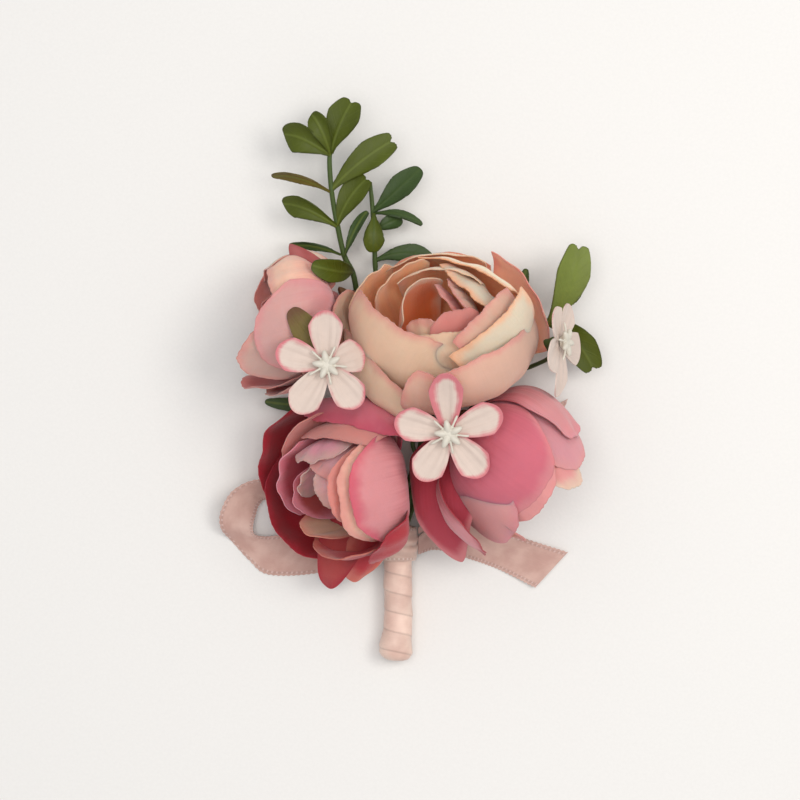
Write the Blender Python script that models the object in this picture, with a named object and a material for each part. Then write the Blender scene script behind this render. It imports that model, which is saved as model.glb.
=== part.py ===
"""Corsage of cloth blooms, moulded greenery and satin ribbon, lying on a table.

Units in the tables are millimetres; meshes are built in metres. +Z is up. The origin is the middle of the flat
underside of the ribbon-wound handle, the stems run along +Y and +X is to the right as seen from above.
"""

import math

import bmesh
import bpy
import numpy as np

MM = 0.001
SHEET = 0.6            # thickness of a cloth petal or a moulded leaf
GAP = 0.3              # space between neighbouring pieces
PRESS_DEPTH = 2.2      # how far inside its room a bloom starts to give way to its neighbours
LAYER = 0.11           # how much further each petal of a bloom stays away from its neighbours than the one before

HANDLE_RADIUS = 3.7
HANDLE_WALL = 0.65
HANDLE_SIDES = 12
HANDLE_END = -17.4
HANDLE_BULGE = 1.2         # how far the wound end swells to the left
HANDLE_TOP = 17.6
HANDLE_AXIS_LOW = 3.55
HANDLE_AXIS_HIGH = 5.0
HANDLE_RISE_START = 2.0
HANDLE_RISE_END = 12.0

STEM_RADIUS = 0.55
STEM_SIDES = 6
STEM_RING = 2.2        # radius of the ring of stems inside the handle
STEM_PAIR = 0.75       # offset of the two stems in the middle of that ring
STEM_START = -13.2

CORE_RADIUS = 3.0
CORE_TOP = 5.0
SOCKET_RADIUS = 0.95
SOCKET_DEPTH = 2.8
PEG_RADIUS = 0.62
CALYX_RADIUS = 2.9
CALYX_LENGTH = 4.6

KNOT_LOW = 8.6
KNOT_HIGH = 17.2

FINE_GRID = (4, 4)        # cells across and along a petal that is seen whole
COARSE_GRID = (3, 3)      # the same for a petal deep inside a bloom
BLOSSOM_GRID = (3, 3)
LEAF_GRID = (2, 3)
BLOOM_SHARE = 0.65        # share of a fused bloom's triangles that is kept
PETAL_ROOT_SHARE = 0.14   # width of a petal at its root, as a share of its full width
MIN_WRAP = 4.5            # tightest radius that a petal is rolled to across its width


# Small vector helpers

def unit(vector):
    vector = np.asarray(vector, dtype=float)
    return vector / np.linalg.norm(vector)


def frame_from(axis, zero):
    """Axis, the direction of turn 0 and the direction of turn 90, all square to each other."""
    axis = unit(axis)
    zero = np.asarray(zero, dtype=float)
    first = unit(zero - axis * zero.dot(axis))
    return axis, first, np.cross(axis, first)


def bezier(points, share):
    """Cubic curve through four control points, read at an array of shares."""
    share = np.asarray(share)[..., None]
    back = 1.0 - share
    first, second, third, last = (np.asarray(p, dtype=float) for p in points)
    return (back ** 3 * first + 3 * back ** 2 * share * second
            + 3 * back * share ** 2 * third + share ** 3 * last)


def smooth_route(points, steps):
    """Points along a smooth curve through the given ones, steps to each stretch."""
    points = [np.asarray(p, dtype=float) for p in points]
    ends = [2 * points[0] - points[1]] + points + [2 * points[-1] - points[-2]]
    route = []
    for i in range(1, len(ends) - 2):
        before, here, there, after = ends[i - 1], ends[i], ends[i + 1], ends[i + 2]
        for step in range(steps):
            t = step / steps
            route.append(0.5 * (2 * here + (there - before) * t
                                + (2 * before - 5 * here + 4 * there - after) * t ** 2
                                + (3 * here - before - 3 * there + after) * t ** 3))
    route.append(points[-1])
    return np.array(route)


# Materials

def material(name, colour, roughness, metallic=0.0):
    made = bpy.data.materials.get(name)
    if made is None:
        made = bpy.data.materials.new(name)
        made.use_nodes = True
        shader = made.node_tree.nodes["Principled BSDF"]
        shader.inputs["Base Color"].default_value = (*colour, 1.0)
        shader.inputs["Roughness"].default_value = roughness
        shader.inputs["Metallic"].default_value = metallic
    return made


def peach_cloth():
    return material("peach_cloth", (0.62, 0.42, 0.32), 0.8)


def blush_cloth():
    return material("blush_cloth", (0.60, 0.32, 0.30), 0.8)


def crimson_cloth():
    return material("crimson_cloth", (0.50, 0.10, 0.15), 0.8)


def rose_cloth():
    return material("rose_cloth", (0.58, 0.16, 0.21), 0.8)


def white_cloth():
    return material("white_cloth", (0.70, 0.60, 0.54), 0.75)


def white_plastic():
    return material("white_plastic", (0.72, 0.70, 0.64), 0.4)


def leaf_plastic():
    return material("leaf_plastic", (0.08, 0.12, 0.02), 0.5)


def dark_leaf_plastic():
    return material("dark_leaf_plastic", (0.04, 0.08, 0.03), 0.5)


def stem_plastic():
    return material("stem_plastic", (0.10, 0.10, 0.03), 0.55)


def satin_ribbon():
    return material("satin_ribbon", (0.55, 0.38, 0.33), 0.35)


# Mesh builders

def new_object(name, mesh, surface):
    thing = bpy.data.objects.new(name, mesh)
    bpy.context.scene.collection.objects.link(thing)
    if surface is not None:
        mesh.materials.append(surface)
    return thing


def mesh_from(name, vertices, faces, surface=None):
    """One closed body from points in millimetres; its faces are turned to point out."""
    mesh = bpy.data.meshes.new(name)
    mesh.from_pydata([tuple(np.asarray(v) * MM) for v in vertices], [], faces)
    shape = bmesh.new()
    shape.from_mesh(mesh)
    bmesh.ops.recalc_face_normals(shape, faces=shape.faces)
    shape.to_mesh(mesh)
    shape.free()
    return new_object(name, mesh, surface)


def grid_normals(points):
    """Unit normals of a grid of points, from the directions along its rows and columns."""
    rows = np.gradient(points, axis=0)
    columns = np.gradient(points, axis=1)
    normals = np.cross(rows, columns)
    lengths = np.linalg.norm(normals, axis=2, keepdims=True)
    return normals / np.maximum(lengths, 1e-9)


def sheet_from_grid(name, points, thickness=SHEET):
    """A closed sheet of even thickness around a grid of points."""
    normals = grid_normals(points)
    half = thickness / 2
    across, along = points.shape[0], points.shape[1]
    front, rear = points + normals * half, points - normals * half
    vertices = np.concatenate([front.reshape(-1, 3), rear.reshape(-1, 3)])
    back = across * along

    def at(i, j):
        return i * along + j

    faces = []
    for i in range(across - 1):
        for j in range(along - 1):
            faces.append((at(i, j), at(i + 1, j), at(i + 1, j + 1), at(i, j + 1)))
            faces.append((back + at(i, j), back + at(i, j + 1), back + at(i + 1, j + 1), back + at(i + 1, j)))
    rim = [at(i, 0) for i in range(across)]
    rim += [at(across - 1, j) for j in range(1, along)]
    rim += [at(i, along - 1) for i in range(across - 2, -1, -1)]
    rim += [at(0, j) for j in range(along - 2, 0, -1)]
    for here, there in zip(rim, rim[1:] + rim[:1]):
        faces.append((here, back + here, back + there, there))
    return mesh_from(name, vertices, faces)


def tube(name, route, radius, sides=STEM_SIDES):
    """A closed round bar along a route; the radius may be one number or one for each point."""
    route = np.asarray(route, dtype=float)
    radii = np.broadcast_to(radius, len(route))
    directions = np.gradient(route, axis=0)
    directions /= np.linalg.norm(directions, axis=1, keepdims=True)
    side = unit(np.cross(directions[0], (0.31, 0.17, 1.0)))
    vertices = []
    for point, direction, size in zip(route, directions, radii):
        side = unit(side - direction * side.dot(direction))
        other = np.cross(direction, side)
        for k in range(sides):
            angle = 2 * math.pi * k / sides
            vertices.append(point + size * (math.cos(angle) * side + math.sin(angle) * other))
    faces = []
    for ring in range(len(route) - 1):
        low, high = ring * sides, (ring + 1) * sides
        for k in range(sides):
            n = (k + 1) % sides
            faces.append((low + k, low + n, high + n, high + k))
    faces.append(tuple(range(sides)))
    faces.append(tuple(range((len(route) - 1) * sides, len(route) * sides)))
    return mesh_from(name, vertices, faces)


def turned(name, profile, base, axis, sides=10):
    """A turned solid: the profile lists radius and height, from the axis round to the axis again."""
    direction, first, second = frame_from(axis, (0.3, 0.2, 1.0) if abs(unit(axis)[2]) < 0.9 else (1, 0, 0))
    base = np.asarray(base, dtype=float)
    vertices, rings = [], []
    for radius, height in profile:
        centre = base + direction * height
        if radius == 0:
            rings.append([len(vertices)])
            vertices.append(centre)
            continue
        rings.append(list(range(len(vertices), len(vertices) + sides)))
        for k in range(sides):
            angle = 2 * math.pi * k / sides
            vertices.append(centre + radius * (math.cos(angle) * first + math.sin(angle) * second))
    faces = []
    for low, high in zip(rings, rings[1:]):
        for k in range(sides):
            n = (k + 1) % sides
            if len(low) == 1:
                faces.append((low[0], high[n], high[k]))
            elif len(high) == 1:
                faces.append((low[k], low[n], high[0]))
            else:
                faces.append((low[k], low[n], high[n], high[k]))
    return mesh_from(name, vertices, faces)


def applied(thing):
    """The mesh of an object with its modifiers, which are then removed."""
    bpy.context.view_layer.update()
    seen = thing.evaluated_get(bpy.context.evaluated_depsgraph_get())
    mesh = bpy.data.meshes.new_from_object(seen)
    thing.modifiers.clear()
    thing.data = mesh


def outer_body(thing):
    """Keeps the largest closed body of a union and drops the small pockets sealed inside it."""
    shape = bmesh.new()
    shape.from_mesh(thing.data)
    left = set(shape.faces)
    bodies = []
    while left:
        body, edge = set(), [left.pop()]
        while edge:
            face = edge.pop()
            body.add(face)
            for line in face.edges:
                if len(line.link_faces) != 2:
                    continue
                for other in line.link_faces:
                    if other in left:
                        left.discard(other)
                        edge.append(other)
        bodies.append(body)
    bodies.sort(key=lambda body: -sum(face.calc_area() for face in body))
    for body in bodies[1:]:
        bmesh.ops.delete(shape, geom=list(body), context="FACES")
    shape.to_mesh(thing.data)
    shape.free()


def fuse(name, pieces, surface, share=1.0):
    """One solid from overlapping pieces, by a single Boolean union, which is then applied and thinned out."""
    first, rest = pieces[0], pieces[1:]
    if rest:
        group = bpy.data.collections.new(name + "_pieces")
        bpy.context.scene.collection.children.link(group)
        for piece in rest:
            bpy.context.scene.collection.objects.unlink(piece)
            group.objects.link(piece)
        union = first.modifiers.new("union", "BOOLEAN")
        union.operation = "UNION"
        union.operand_type = "COLLECTION"
        union.collection = group
        union.solver = "EXACT"
        applied(first)
        for piece in rest:
            bpy.data.objects.remove(piece)
        bpy.data.collections.remove(group)
    outer_body(first)
    if share < 1.0:
        thinner = first.modifiers.new("thinner", "DECIMATE")
        thinner.ratio = share
        applied(first)
        outer_body(first)
    first.name = name
    first.data.name = name
    first.data.materials.clear()
    first.data.materials.append(surface)
    first.data.shade_smooth()
    first.data.set_sharp_from_angle(angle=math.radians(50))
    return first


# Rooms: each bloom keeps to its own side of the planes between it and its neighbours

def press(points, planes, margin):
    """Moves points that would cross a plane back to its near side, keeping their order."""
    points = points.copy()
    for place, normal in planes:
        normal = unit(normal)
        beyond = (points - np.asarray(place, dtype=float)).dot(normal) + margin
        inside = -PRESS_DEPTH * np.exp(-(beyond + PRESS_DEPTH) / PRESS_DEPTH)
        moved = np.where(beyond > -PRESS_DEPTH, inside, beyond)
        points += (moved - beyond)[..., None] * normal
    return points


def settle(points, level):
    """Keeps the middle of a sheet half its thickness above the level that it rests on."""
    points = points.copy()
    points[..., 2] = np.maximum(points[..., 2], level + SHEET / 2)
    return points


PEACH_OVER_CRIMSON = ((0.0, 48.4, 20.0), (-0.12, -0.90, -0.42))
PEACH_OVER_ROSE = ((26.0, 54.0, 22.0), (0.40, -0.80, -0.45))
PEACH_OVER_BLUSH = ((-14.5, 72.0, 20.0), (-0.80, 0.35, -0.48))
BLUSH_BY_CRIMSON = ((-24.0, 51.3, 15.0), (0.15, -0.98, -0.10))
CRIMSON_BY_ROSE = ((3.1, 27.0, 20.0), (0.99, 0.10, 0.0))


def far_side(plane):
    place, normal = plane
    return place, tuple(-n for n in normal)


def above(level):
    return (0.0, 0.0, level), (0.0, 0.0, -1.0)


# Blooms: base point, direction of the opening, direction of turn 0, and the planes of its room

PEACH = dict(name="peach_bloom", base=(12.3, 59.2, 11.0), axis=(-0.12, 0.62, 0.78), zero=(1, 0, 0), rest=None,
             room=(PEACH_OVER_CRIMSON, PEACH_OVER_ROSE, PEACH_OVER_BLUSH, above(7.0)))
BLUSH = dict(name="blush_bloom", base=(-15.0, 75.5, 15.5), axis=(-0.93, -0.36, 0.06), zero=(0, 0, 1), rest=-0.33,
             room=(far_side(PEACH_OVER_BLUSH), BLUSH_BY_CRIMSON, ((-19.0, 60.0, 15.0), (0.75, -0.66, 0.0)),
                   above(-1.2)))
CRIMSON = dict(name="crimson_bloom", base=(-2.4, 31.2, 13.0), axis=(-0.75, -0.20, 0.63), zero=(0, 0, 1), rest=None,
               room=(far_side(PEACH_OVER_CRIMSON), far_side(BLUSH_BY_CRIMSON), CRIMSON_BY_ROSE,
                     ((-5.0, 30.0, 9.5), (0.6, 0.0, -0.8)), above(5.2)))
ROSE = dict(name="rose_bloom", base=(17.0, 44.3, 16.0), axis=(0.78, -0.60, 0.15), zero=(0, 0, 1), rest=None,
            room=(far_side(PEACH_OVER_ROSE), far_side(CRIMSON_BY_ROSE), ((11.0, 30.0, 8.0), (-0.6, 0.0, -0.8)),
                  ((0.0, 57.0, 0.0), (0.0, 1.0, 0.0)), above(1.6)))


def petal(turn, rim, height, width, belly, root=1.0, round_off=0.35, point=0.0, spiral=0.0, slant=0.0, lean=0.0,
          curl=0.0, edge=0.0, ripple=0.0, waves=3.0, wrap=1.0, shoulder=0.62, fine=True):
    """One petal of a bloom. The turn is in degrees round the bloom's axis; the rest are millimetres.

    rim and height place the middle of its free edge, belly is how far out the petal swings on the way there,
    spiral and slant shift one side out and up against the other, lean shifts the free edge sideways, curl turns
    the rim out, edge turns both sides out and shoulder is how high the petal stays wide.
    """
    return dict(turn=turn, rim=rim, height=height, width=width, belly=belly, root=root, round_off=round_off,
                point=point, spiral=spiral, slant=slant, lean=lean, curl=curl, edge=edge, ripple=ripple, waves=waves,
                wrap=wrap, shoulder=shoulder, fine=fine)


PEACH_PETALS = [
    petal(211, 18.5, 15.0, 17.0, 27.0, 0.6, slant=-5.0, round_off=0.25, edge=1.0),
    petal(316, 21.0, 22.8, 19.0, 27.0, 0.8, slant=-5.5, round_off=0.15),
    petal(24, 25.2, 15.5, 14.0, 27.5, 0.9, spiral=-1.5, slant=5.5, round_off=0.08, point=1.0),
    petal(98, 24.3, 15.5, 17.0, 26.8, 1.0, spiral=1.0, round_off=0.15),
    petal(166, 26.0, 24.0, 8.0, 28.5, 0.8, round_off=0.35, curl=1.0),
    petal(208, 11.5, 25.5, 13.5, 23.5, 1.6, spiral=-7.0, slant=-6.0, round_off=0.10, ripple=0.4),
    petal(260, 20.5, 23.0, 6.5, 27.0, 0.9, fine=False),
    petal(-24, 12.6, 26.2, 10.5, 21.6, 1.8, spiral=3.5, slant=0.8, round_off=0.10, shoulder=0.75),
    petal(-29, 16.6, 24.8, 13.0, 24.6, 1.4, spiral=4.4, slant=2.2, round_off=0.06, shoulder=0.75),
    petal(38, 7.2, 24.4, 9.5, 19.0, 2.2, slant=0.5, round_off=0.08, wrap=3.0, shoulder=0.92),
    petal(54, 13.2, 24.4, 14.0, 22.0, 1.8, spiral=-1.5, round_off=0.10, wrap=1.6, shoulder=0.88),
    petal(130, 13.5, 25.5, 9.5, 19.0, 2.0, round_off=0.20, ripple=0.3, shoulder=0.85),
    petal(150, 18.5, 25.5, 8.5, 23.6, 1.4, spiral=2.0, round_off=0.20, shoulder=0.8),
    petal(140, 7.4, 25.6, 9.5, 12.0, 2.6, ripple=0.3, round_off=0.12, fine=False),
    petal(262, 3.6, 22.6, 5.2, 9.5, 2.6, lean=-2.8, wrap=3.0, round_off=0.10, fine=False),
    petal(22, 1.4, 25.0, 5.2, 10.0, 2.6, lean=3.2, wrap=3.0, round_off=0.15, fine=False),
    petal(-80, 3.4, 24.5, 6.6, 11.0, 2.4, lean=5.0, wrap=3.0, round_off=0.12, fine=False),
]

BLUSH_PETALS = [
    petal(-10, 12.5, 23.8, 13.5, 19.5, 1.2, slant=-2.5, round_off=0.40, curl=0.5),
    petal(-14, 9.8, 27.2, 13.0, 17.8, 1.6, slant=-2.0, round_off=0.45, point=1.5),
    petal(48, 15.0, 14.5, 10.0, 18.8, 1.2, slant=-1.0, round_off=0.2),
    petal(122, 13.0, 15.8, 12.0, 18.0, 1.6, spiral=1.5, ripple=0.5, round_off=0.2),
    petal(-118, 16.0, 23.0, 13.0, 20.0, 1.2, spiral=-1.0, slant=1.0, ripple=0.5, round_off=0.25),
    petal(-100, 11.5, 21.5, 12.0, 14.5, 1.8, spiral=1.0, ripple=0.4, round_off=0.2),
    petal(-142, 10.5, 31.0, 12.0, 19.0, 1.0, round_off=0.35, point=3.0, ripple=0.5),
    petal(158, 11.0, 20.0, 13.0, 17.5, 1.3, round_off=0.3, spiral=1.0),
    petal(-58, 16.0, 15.0, 12.0, 19.0, 1.0, round_off=0.3),
    petal(10, 5.0, 20.0, 7.0, 9.5, 2.4, fine=False),
    petal(130, 5.5, 19.0, 7.0, 9.5, 2.4, fine=False),
    petal(-120, 5.0, 20.5, 7.0, 9.5, 2.4, fine=False),
]

CRIMSON_PETALS = [
    petal(-14, 14.2, 24.8, 17.0, 20.5, 1.0, round_off=0.50, slant=1.0),
    petal(-15, 11.5, 26.5, 16.5, 18.5, 1.4, round_off=0.45),
    petal(-8, 9.0, 27.5, 12.0, 16.0, 1.8, round_off=0.35),
    petal(70, 14.8, 13.6, 15.0, 21.5, 0.8, slant=2.5, round_off=0.12, wrap=2.0),
    petal(76, 13.0, 18.5, 13.5, 18.5, 1.4, slant=1.0, round_off=0.12, wrap=1.8),
    petal(56, 8.2, 23.5, 8.0, 12.8, 2.2, round_off=0.2, fine=False),
    petal(92, 10.8, 24.0, 8.5, 14.5, 2.2, spiral=3.0, wrap=2.5, ripple=0.3, round_off=0.2, fine=False),
    petal(10, 2.5, 26.0, 7.5, 10.0, 2.6, wrap=3.0, round_off=0.2, fine=False),
    petal(178, 8.0, 25.0, 8.5, 12.0, 2.4, ripple=0.6, fine=False),
    petal(152, 23.2, 23.5, 16.0, 26.0, 0.9, round_off=0.25, ripple=0.6),
    petal(-172, 20.8, 24.5, 15.0, 25.0, 0.7, round_off=0.25, ripple=0.5),
    petal(-130, 10.5, 25.5, 7.5, 13.5, 2.2, fine=False),
    petal(-106, 16.5, 22.0, 12.0, 20.0, 1.0, round_off=0.2),
    petal(128, 18.0, 21.0, 10.5, 21.0, 1.2, round_off=0.25),
    petal(-62, 19.0, 17.5, 11.0, 22.0, 0.8, round_off=0.3),
]

ROSE_PETALS = [
    petal(14, 12.8, 29.0, 18.5, 20.0, 1.0, round_off=0.50, slant=-0.5),
    petal(-58, 10.5, 30.5, 12.5, 19.8, 1.0, round_off=0.35, spiral=-1.5, point=1.0),
    petal(-64, 13.5, 25.5, 12.0, 20.6, 0.8, round_off=0.40, ripple=0.7),
    petal(-30, 9.0, 33.8, 8.0, 15.0, 1.6, point=2.0),
    petal(20, 11.8, 30.0, 16.0, 18.0, 1.4, round_off=0.45),
    petal(64, 16.5, 27.0, 14.0, 20.5, 1.2, spiral=5.0, round_off=0.3),
    petal(75, 15.5, 31.5, 9.0, 18.5, 1.2, round_off=0.4, point=2.0),
    petal(85, 22.3, 25.0, 11.0, 24.5, 0.8, ripple=0.6, round_off=0.25),
    petal(-130, 13.0, 24.0, 14.0, 17.5, 1.2, round_off=0.3),
    petal(165, 12.5, 25.0, 14.0, 17.5, 1.0, round_off=0.3),
    petal(-30, 5.0, 21.0, 7.0, 9.5, 2.4, fine=False),
    petal(90, 5.5, 20.0, 7.0, 9.5, 2.4, fine=False),
    petal(210, 5.0, 20.5, 7.0, 9.5, 2.4, fine=False),
]


def petal_grid(bloom, shape, across, along, back=0.0):
    """The middle surface of a petal, as a grid of points in millimetres; back holds it off its neighbours."""
    side = np.linspace(-1.0, 1.0, across + 1)[:, None]
    share = np.linspace(0.0, 1.0, along + 1)[None, :]
    length = math.hypot(shape["height"], shape["belly"])
    trim = shape["round_off"] * np.abs(side) ** 2.6 + shape["point"] / length * np.abs(side)
    share = share * (1.0 - trim)
    start = (1.2, shape["root"])
    swing = (shape["belly"], shape["root"] - 0.3)
    rise = (shape["belly"], shape["root"] + shape["shoulder"] * (shape["height"] - shape["root"]))
    place = bezier((start, swing, rise, (shape["rim"], shape["height"])), share)
    radius, height = place[..., 0], place[..., 1]
    spread = PETAL_ROOT_SHARE + (1 - PETAL_ROOT_SHARE) * np.sin(np.minimum(share / 0.7, 1.0) * math.pi / 2)
    offset = side * shape["width"] * spread
    wrap = np.maximum(radius * shape["wrap"], MIN_WRAP)
    wrap = np.maximum(wrap, np.abs(offset) / 1.35)
    lateral = wrap * np.sin(offset / wrap) + shape["lean"] * share ** 2
    radial = radius - wrap * (1 - np.cos(offset / wrap))
    late = np.clip((share - 0.7) / 0.3, 0.0, 1.0)
    radial = radial + shape["spiral"] * side * share + shape["curl"] * late ** 2
    radial = radial + shape["edge"] * side ** 4 * share
    radial = radial + shape["ripple"] * np.sin(shape["waves"] * math.pi * side) * share ** 3
    height = height + shape["slant"] * side * share
    angle = math.radians(shape["turn"])
    axis, first, second = frame_from(bloom["axis"], bloom["zero"])
    east = radial * math.cos(angle) - lateral * math.sin(angle)
    north = radial * math.sin(angle) + lateral * math.cos(angle)
    points = (np.asarray(bloom["base"]) + height[..., None] * axis + east[..., None] * first
              + north[..., None] * second)
    points = press(points, bloom["room"], SHEET / 2 + GAP / 2 + 0.05 + back)
    if bloom["rest"] is not None:
        points = settle(points, bloom["rest"] + back)
    return points


def blade_grid(route, width, facing, across, along, cup=0.0, root_share=0.3, widest=0.6, tip=0.25, notch=0.0,
               edge_wave=0.0):
    """The middle surface of a leaf or a loose petal that follows a route and faces one way.

    width is half its full width, cup lifts or lowers its sides, notch cuts back the middle of its tip.
    """
    side = np.linspace(-1.0, 1.0, across + 1)[:, None]
    share = np.linspace(0.0, 1.0, along + 1)[None, :]
    trim = tip * np.abs(side) ** 2.2 + notch * np.exp(-(side / 0.28) ** 2)
    share = share * (1.0 - trim) / (1.0 - notch * 0.3)
    share = np.minimum(share, 1.0)
    spine = bezier(route, share)
    ahead = bezier(route, np.minimum(share + 0.01, 1.0)) - bezier(route, np.maximum(share - 0.01, 0.0))
    ahead = ahead / np.linalg.norm(ahead, axis=-1, keepdims=True)
    facing = unit(facing)
    sideways = np.cross(ahead, facing)
    sideways = sideways / np.linalg.norm(sideways, axis=-1, keepdims=True)
    outward = np.cross(sideways, ahead)
    spread = root_share + (1 - root_share) * np.sin(np.minimum(share / widest, 1.0) * math.pi / 2)
    offset = side * width * spread
    lift = cup * side ** 2 * spread + edge_wave * np.sin(3 * math.pi * side) * share
    return spine + offset[..., None] * sideways + lift[..., None] * outward


def leaf(start, first, second, end, width, facing=(0, 0, 1), cup=0.8, notch=0.0, tip=0.3, widest=0.7, stalk=0.25):
    return dict(route=(start, first, second, end), width=width, facing=facing, cup=cup, notch=notch, tip=tip,
                widest=widest, root_share=stalk)


def bloom_core(bloom):
    """The moulded cup in which a bloom's petals are rooted, with a socket for the stem's peg."""
    profile = [(0, CORE_TOP), (CORE_RADIUS * 0.75, CORE_TOP - 0.6), (CORE_RADIUS, CORE_TOP - 2.4),
               (CORE_RADIUS * 0.95, 0.8), (CORE_RADIUS * 0.6, -0.3), (SOCKET_RADIUS, -0.3),
               (SOCKET_RADIUS, SOCKET_DEPTH), (0, SOCKET_DEPTH)]
    return turned(bloom["name"] + "_core", profile, bloom["base"], bloom["axis"])


BLUSH_LOOSE = [
    dict(route=((-18.0, 77.0, 17.5), (-22.0, 82.0, 22.0), (-25.0, 86.2, 22.0), (-27.0, 88.4, 18.0)), width=4.2,
         facing=(-0.35, 0.1, 0.9), cup=-0.8, tip=0.75, widest=0.5),
    dict(route=((-16.5, 78.5, 18.0), (-18.5, 82.5, 21.0), (-22.0, 86.0, 21.0), (-25.0, 87.6, 17.5)), width=4.2,
         facing=(0.35, 0.3, 0.85), cup=-0.8, tip=0.65, widest=0.5),
]
CRIMSON_LOOSE = [
    dict(route=((-7.5, 28.0, 13.5), (-13.0, 20.0, 18.0), (-16.5, 9.0, 17.0), (-18.0, 1.8, 9.0)), width=6.5,
         facing=(-0.25, -0.35, 0.9), cup=-2.0, tip=0.55, widest=0.55),
    dict(route=((-4.0, 29.0, 14.0), (-3.0, 20.0, 18.0), (-7.0, 11.0, 17.0), (-12.0, 3.6, 10.0)), width=6.0,
         facing=(0.3, -0.4, 0.85), cup=-1.5, tip=0.35, widest=0.5),
]
ROSE_LOOSE = [
    dict(route=((15.0, 41.0, 18.5), (9.5, 36.0, 27.0), (8.5, 20.0, 26.0), (16.4, 8.8, 13.0)), width=11.0,
         facing=(-0.30, -0.15, 0.92), cup=-2.0, tip=0.55, widest=0.5),
]


def loose_petal_grid(bloom, shape, across, along, back=0.0):
    points = blade_grid(across=across, along=along, **shape)
    return press(points, bloom["room"], SHEET / 2 + GAP / 2 + 0.05 + back)


def build_bloom(bloom, petals, loose, surface):
    pieces = [bloom_core(bloom)]
    for number, shape in enumerate(petals):
        across, along = FINE_GRID if shape["fine"] else COARSE_GRID
        points = petal_grid(bloom, shape, across, along, number * LAYER)
        pieces.append(sheet_from_grid(f"petal_{number}", points))
    for number, shape in enumerate(loose):
        points = loose_petal_grid(bloom, shape, *FINE_GRID, (number + 0.5) * LAYER)
        pieces.append(sheet_from_grid(f"loose_{number}", points))
    return fuse(bloom["name"], pieces, surface, BLOOM_SHARE)


# Stems

def slot(degrees):
    """Where one stem of the outer ring sits across the handle, as X and height above the handle's axis."""
    angle = math.radians(degrees)
    return STEM_RING * math.cos(angle), STEM_RING * math.sin(angle)


def handle_axis(y):
    """Height of the handle's axis, which lifts a little towards the knot."""
    share = np.clip((y - HANDLE_RISE_START) / (HANDLE_RISE_END - HANDLE_RISE_START), 0.0, 1.0)
    return HANDLE_AXIS_LOW + (HANDLE_AXIS_HIGH - HANDLE_AXIS_LOW) * share * share * (3 - 2 * share)


def handle_stretch(place):
    """The points of a stem inside the handle, from its cut end to the handle's top."""
    x, z = place
    return [(x, y, z + handle_axis(y)) for y in (STEM_START, 2.0, 6.0, 12.0, HANDLE_TOP)]


def stem_tube(name, place, beyond, radius=STEM_RADIUS):
    inside = handle_stretch(place)
    outside = smooth_route(inside[-1:] + list(beyond), 2)
    return tube(name, inside[:-1] + list(outside), radius)


def calyx(bloom):
    """The cup under a bloom, with the peg that enters the bloom's socket."""
    profile = [(0, SOCKET_DEPTH - GAP), (PEG_RADIUS, SOCKET_DEPTH - GAP), (PEG_RADIUS, -0.3 - GAP),
               (CALYX_RADIUS * 0.8, -0.3 - GAP), (CALYX_RADIUS, -0.3 - GAP - 0.5), (CALYX_RADIUS * 0.55, -2.8),
               (STEM_RADIUS * 1.5, -CALYX_LENGTH), (0, -CALYX_LENGTH)]
    return turned(bloom["name"] + "_calyx", profile, bloom["base"], bloom["axis"], sides=8)


def under_bloom(bloom, depth):
    return tuple(np.asarray(bloom["base"]) - unit(bloom["axis"]) * depth)


def build_bloom_stem(bloom, place, middle):
    beyond = list(middle) + [under_bloom(bloom, CALYX_LENGTH + 0.4), under_bloom(bloom, CALYX_LENGTH - 1.6)]
    pieces = [calyx(bloom), stem_tube("stem", place, beyond)]
    return fuse(bloom["name"] + "_stem", pieces, stem_plastic())


BLOOM_STEMS = [
    (PEACH, (STEM_PAIR, 0.0), ((3.0, 30.0, 4.6), (7.5, 43.0, 4.8), (11.6, 52.0, 4.6))),
    (BLUSH, (-STEM_PAIR, 0.0), ((-2.6, 35.0, 3.9), (-5.2, 55.0, 4.0), (-6.3, 68.0, 4.8), (-7.8, 75.5, 8.8))),
    (CRIMSON, slot(135), ((-0.6, 24.0, 7.6), (1.7, 30.0, 8.3))),
    (ROSE, slot(45), ((3.2, 26.0, 6.8), (5.2, 36.0, 8.6), (7.4, 46.0, 11.6))),
]


# Small blossoms: five petals of white cloth with a moulded star of stamens

LEFT_BLOSSOM = dict(name="left_blossom", centre=(-17.5, 58.6, 34.4), axis=(0.03, 0.02, 1.0), zero=(0, 1, 0),
                    lengths=(13.4, 13.0, 14.0, 13.0, 9.5), lifts=(2.0, 1.0, 0.0, 0.0, -5.5), start=2.0)
CENTRE_BLOSSOM = dict(name="centre_blossom", centre=(12.4, 42.0, 38.4), axis=(0.0, -0.16, 0.98), zero=(0, 1, 0),
                      lengths=(15.5, 13.6, 13.6, 13.6, 14.0), lifts=(4.5, 0.8, 0.6, 0.8, 0.8), start=4.0)
RIGHT_BLOSSOM = dict(name="right_blossom", centre=(40.3, 64.5, 24.0), axis=(0.97, 0.0, 0.25), zero=(0, -1, 0),
                     lengths=(13.8, 12.5, 10.5, 10.5, 12.5), lifts=(-1.5, 1.0, 1.0, 1.0, 1.0), start=8.0)
BLOSSOMS = (LEFT_BLOSSOM, CENTRE_BLOSSOM, RIGHT_BLOSSOM)
BLOSSOM_HALF_WIDTH = 4.0
BLOSSOM_HOLE = 0.95
BLOSSOM_DISC = 2.6
STAR_LOBE = 3.6
STAR_THREAD = 5.0


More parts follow.
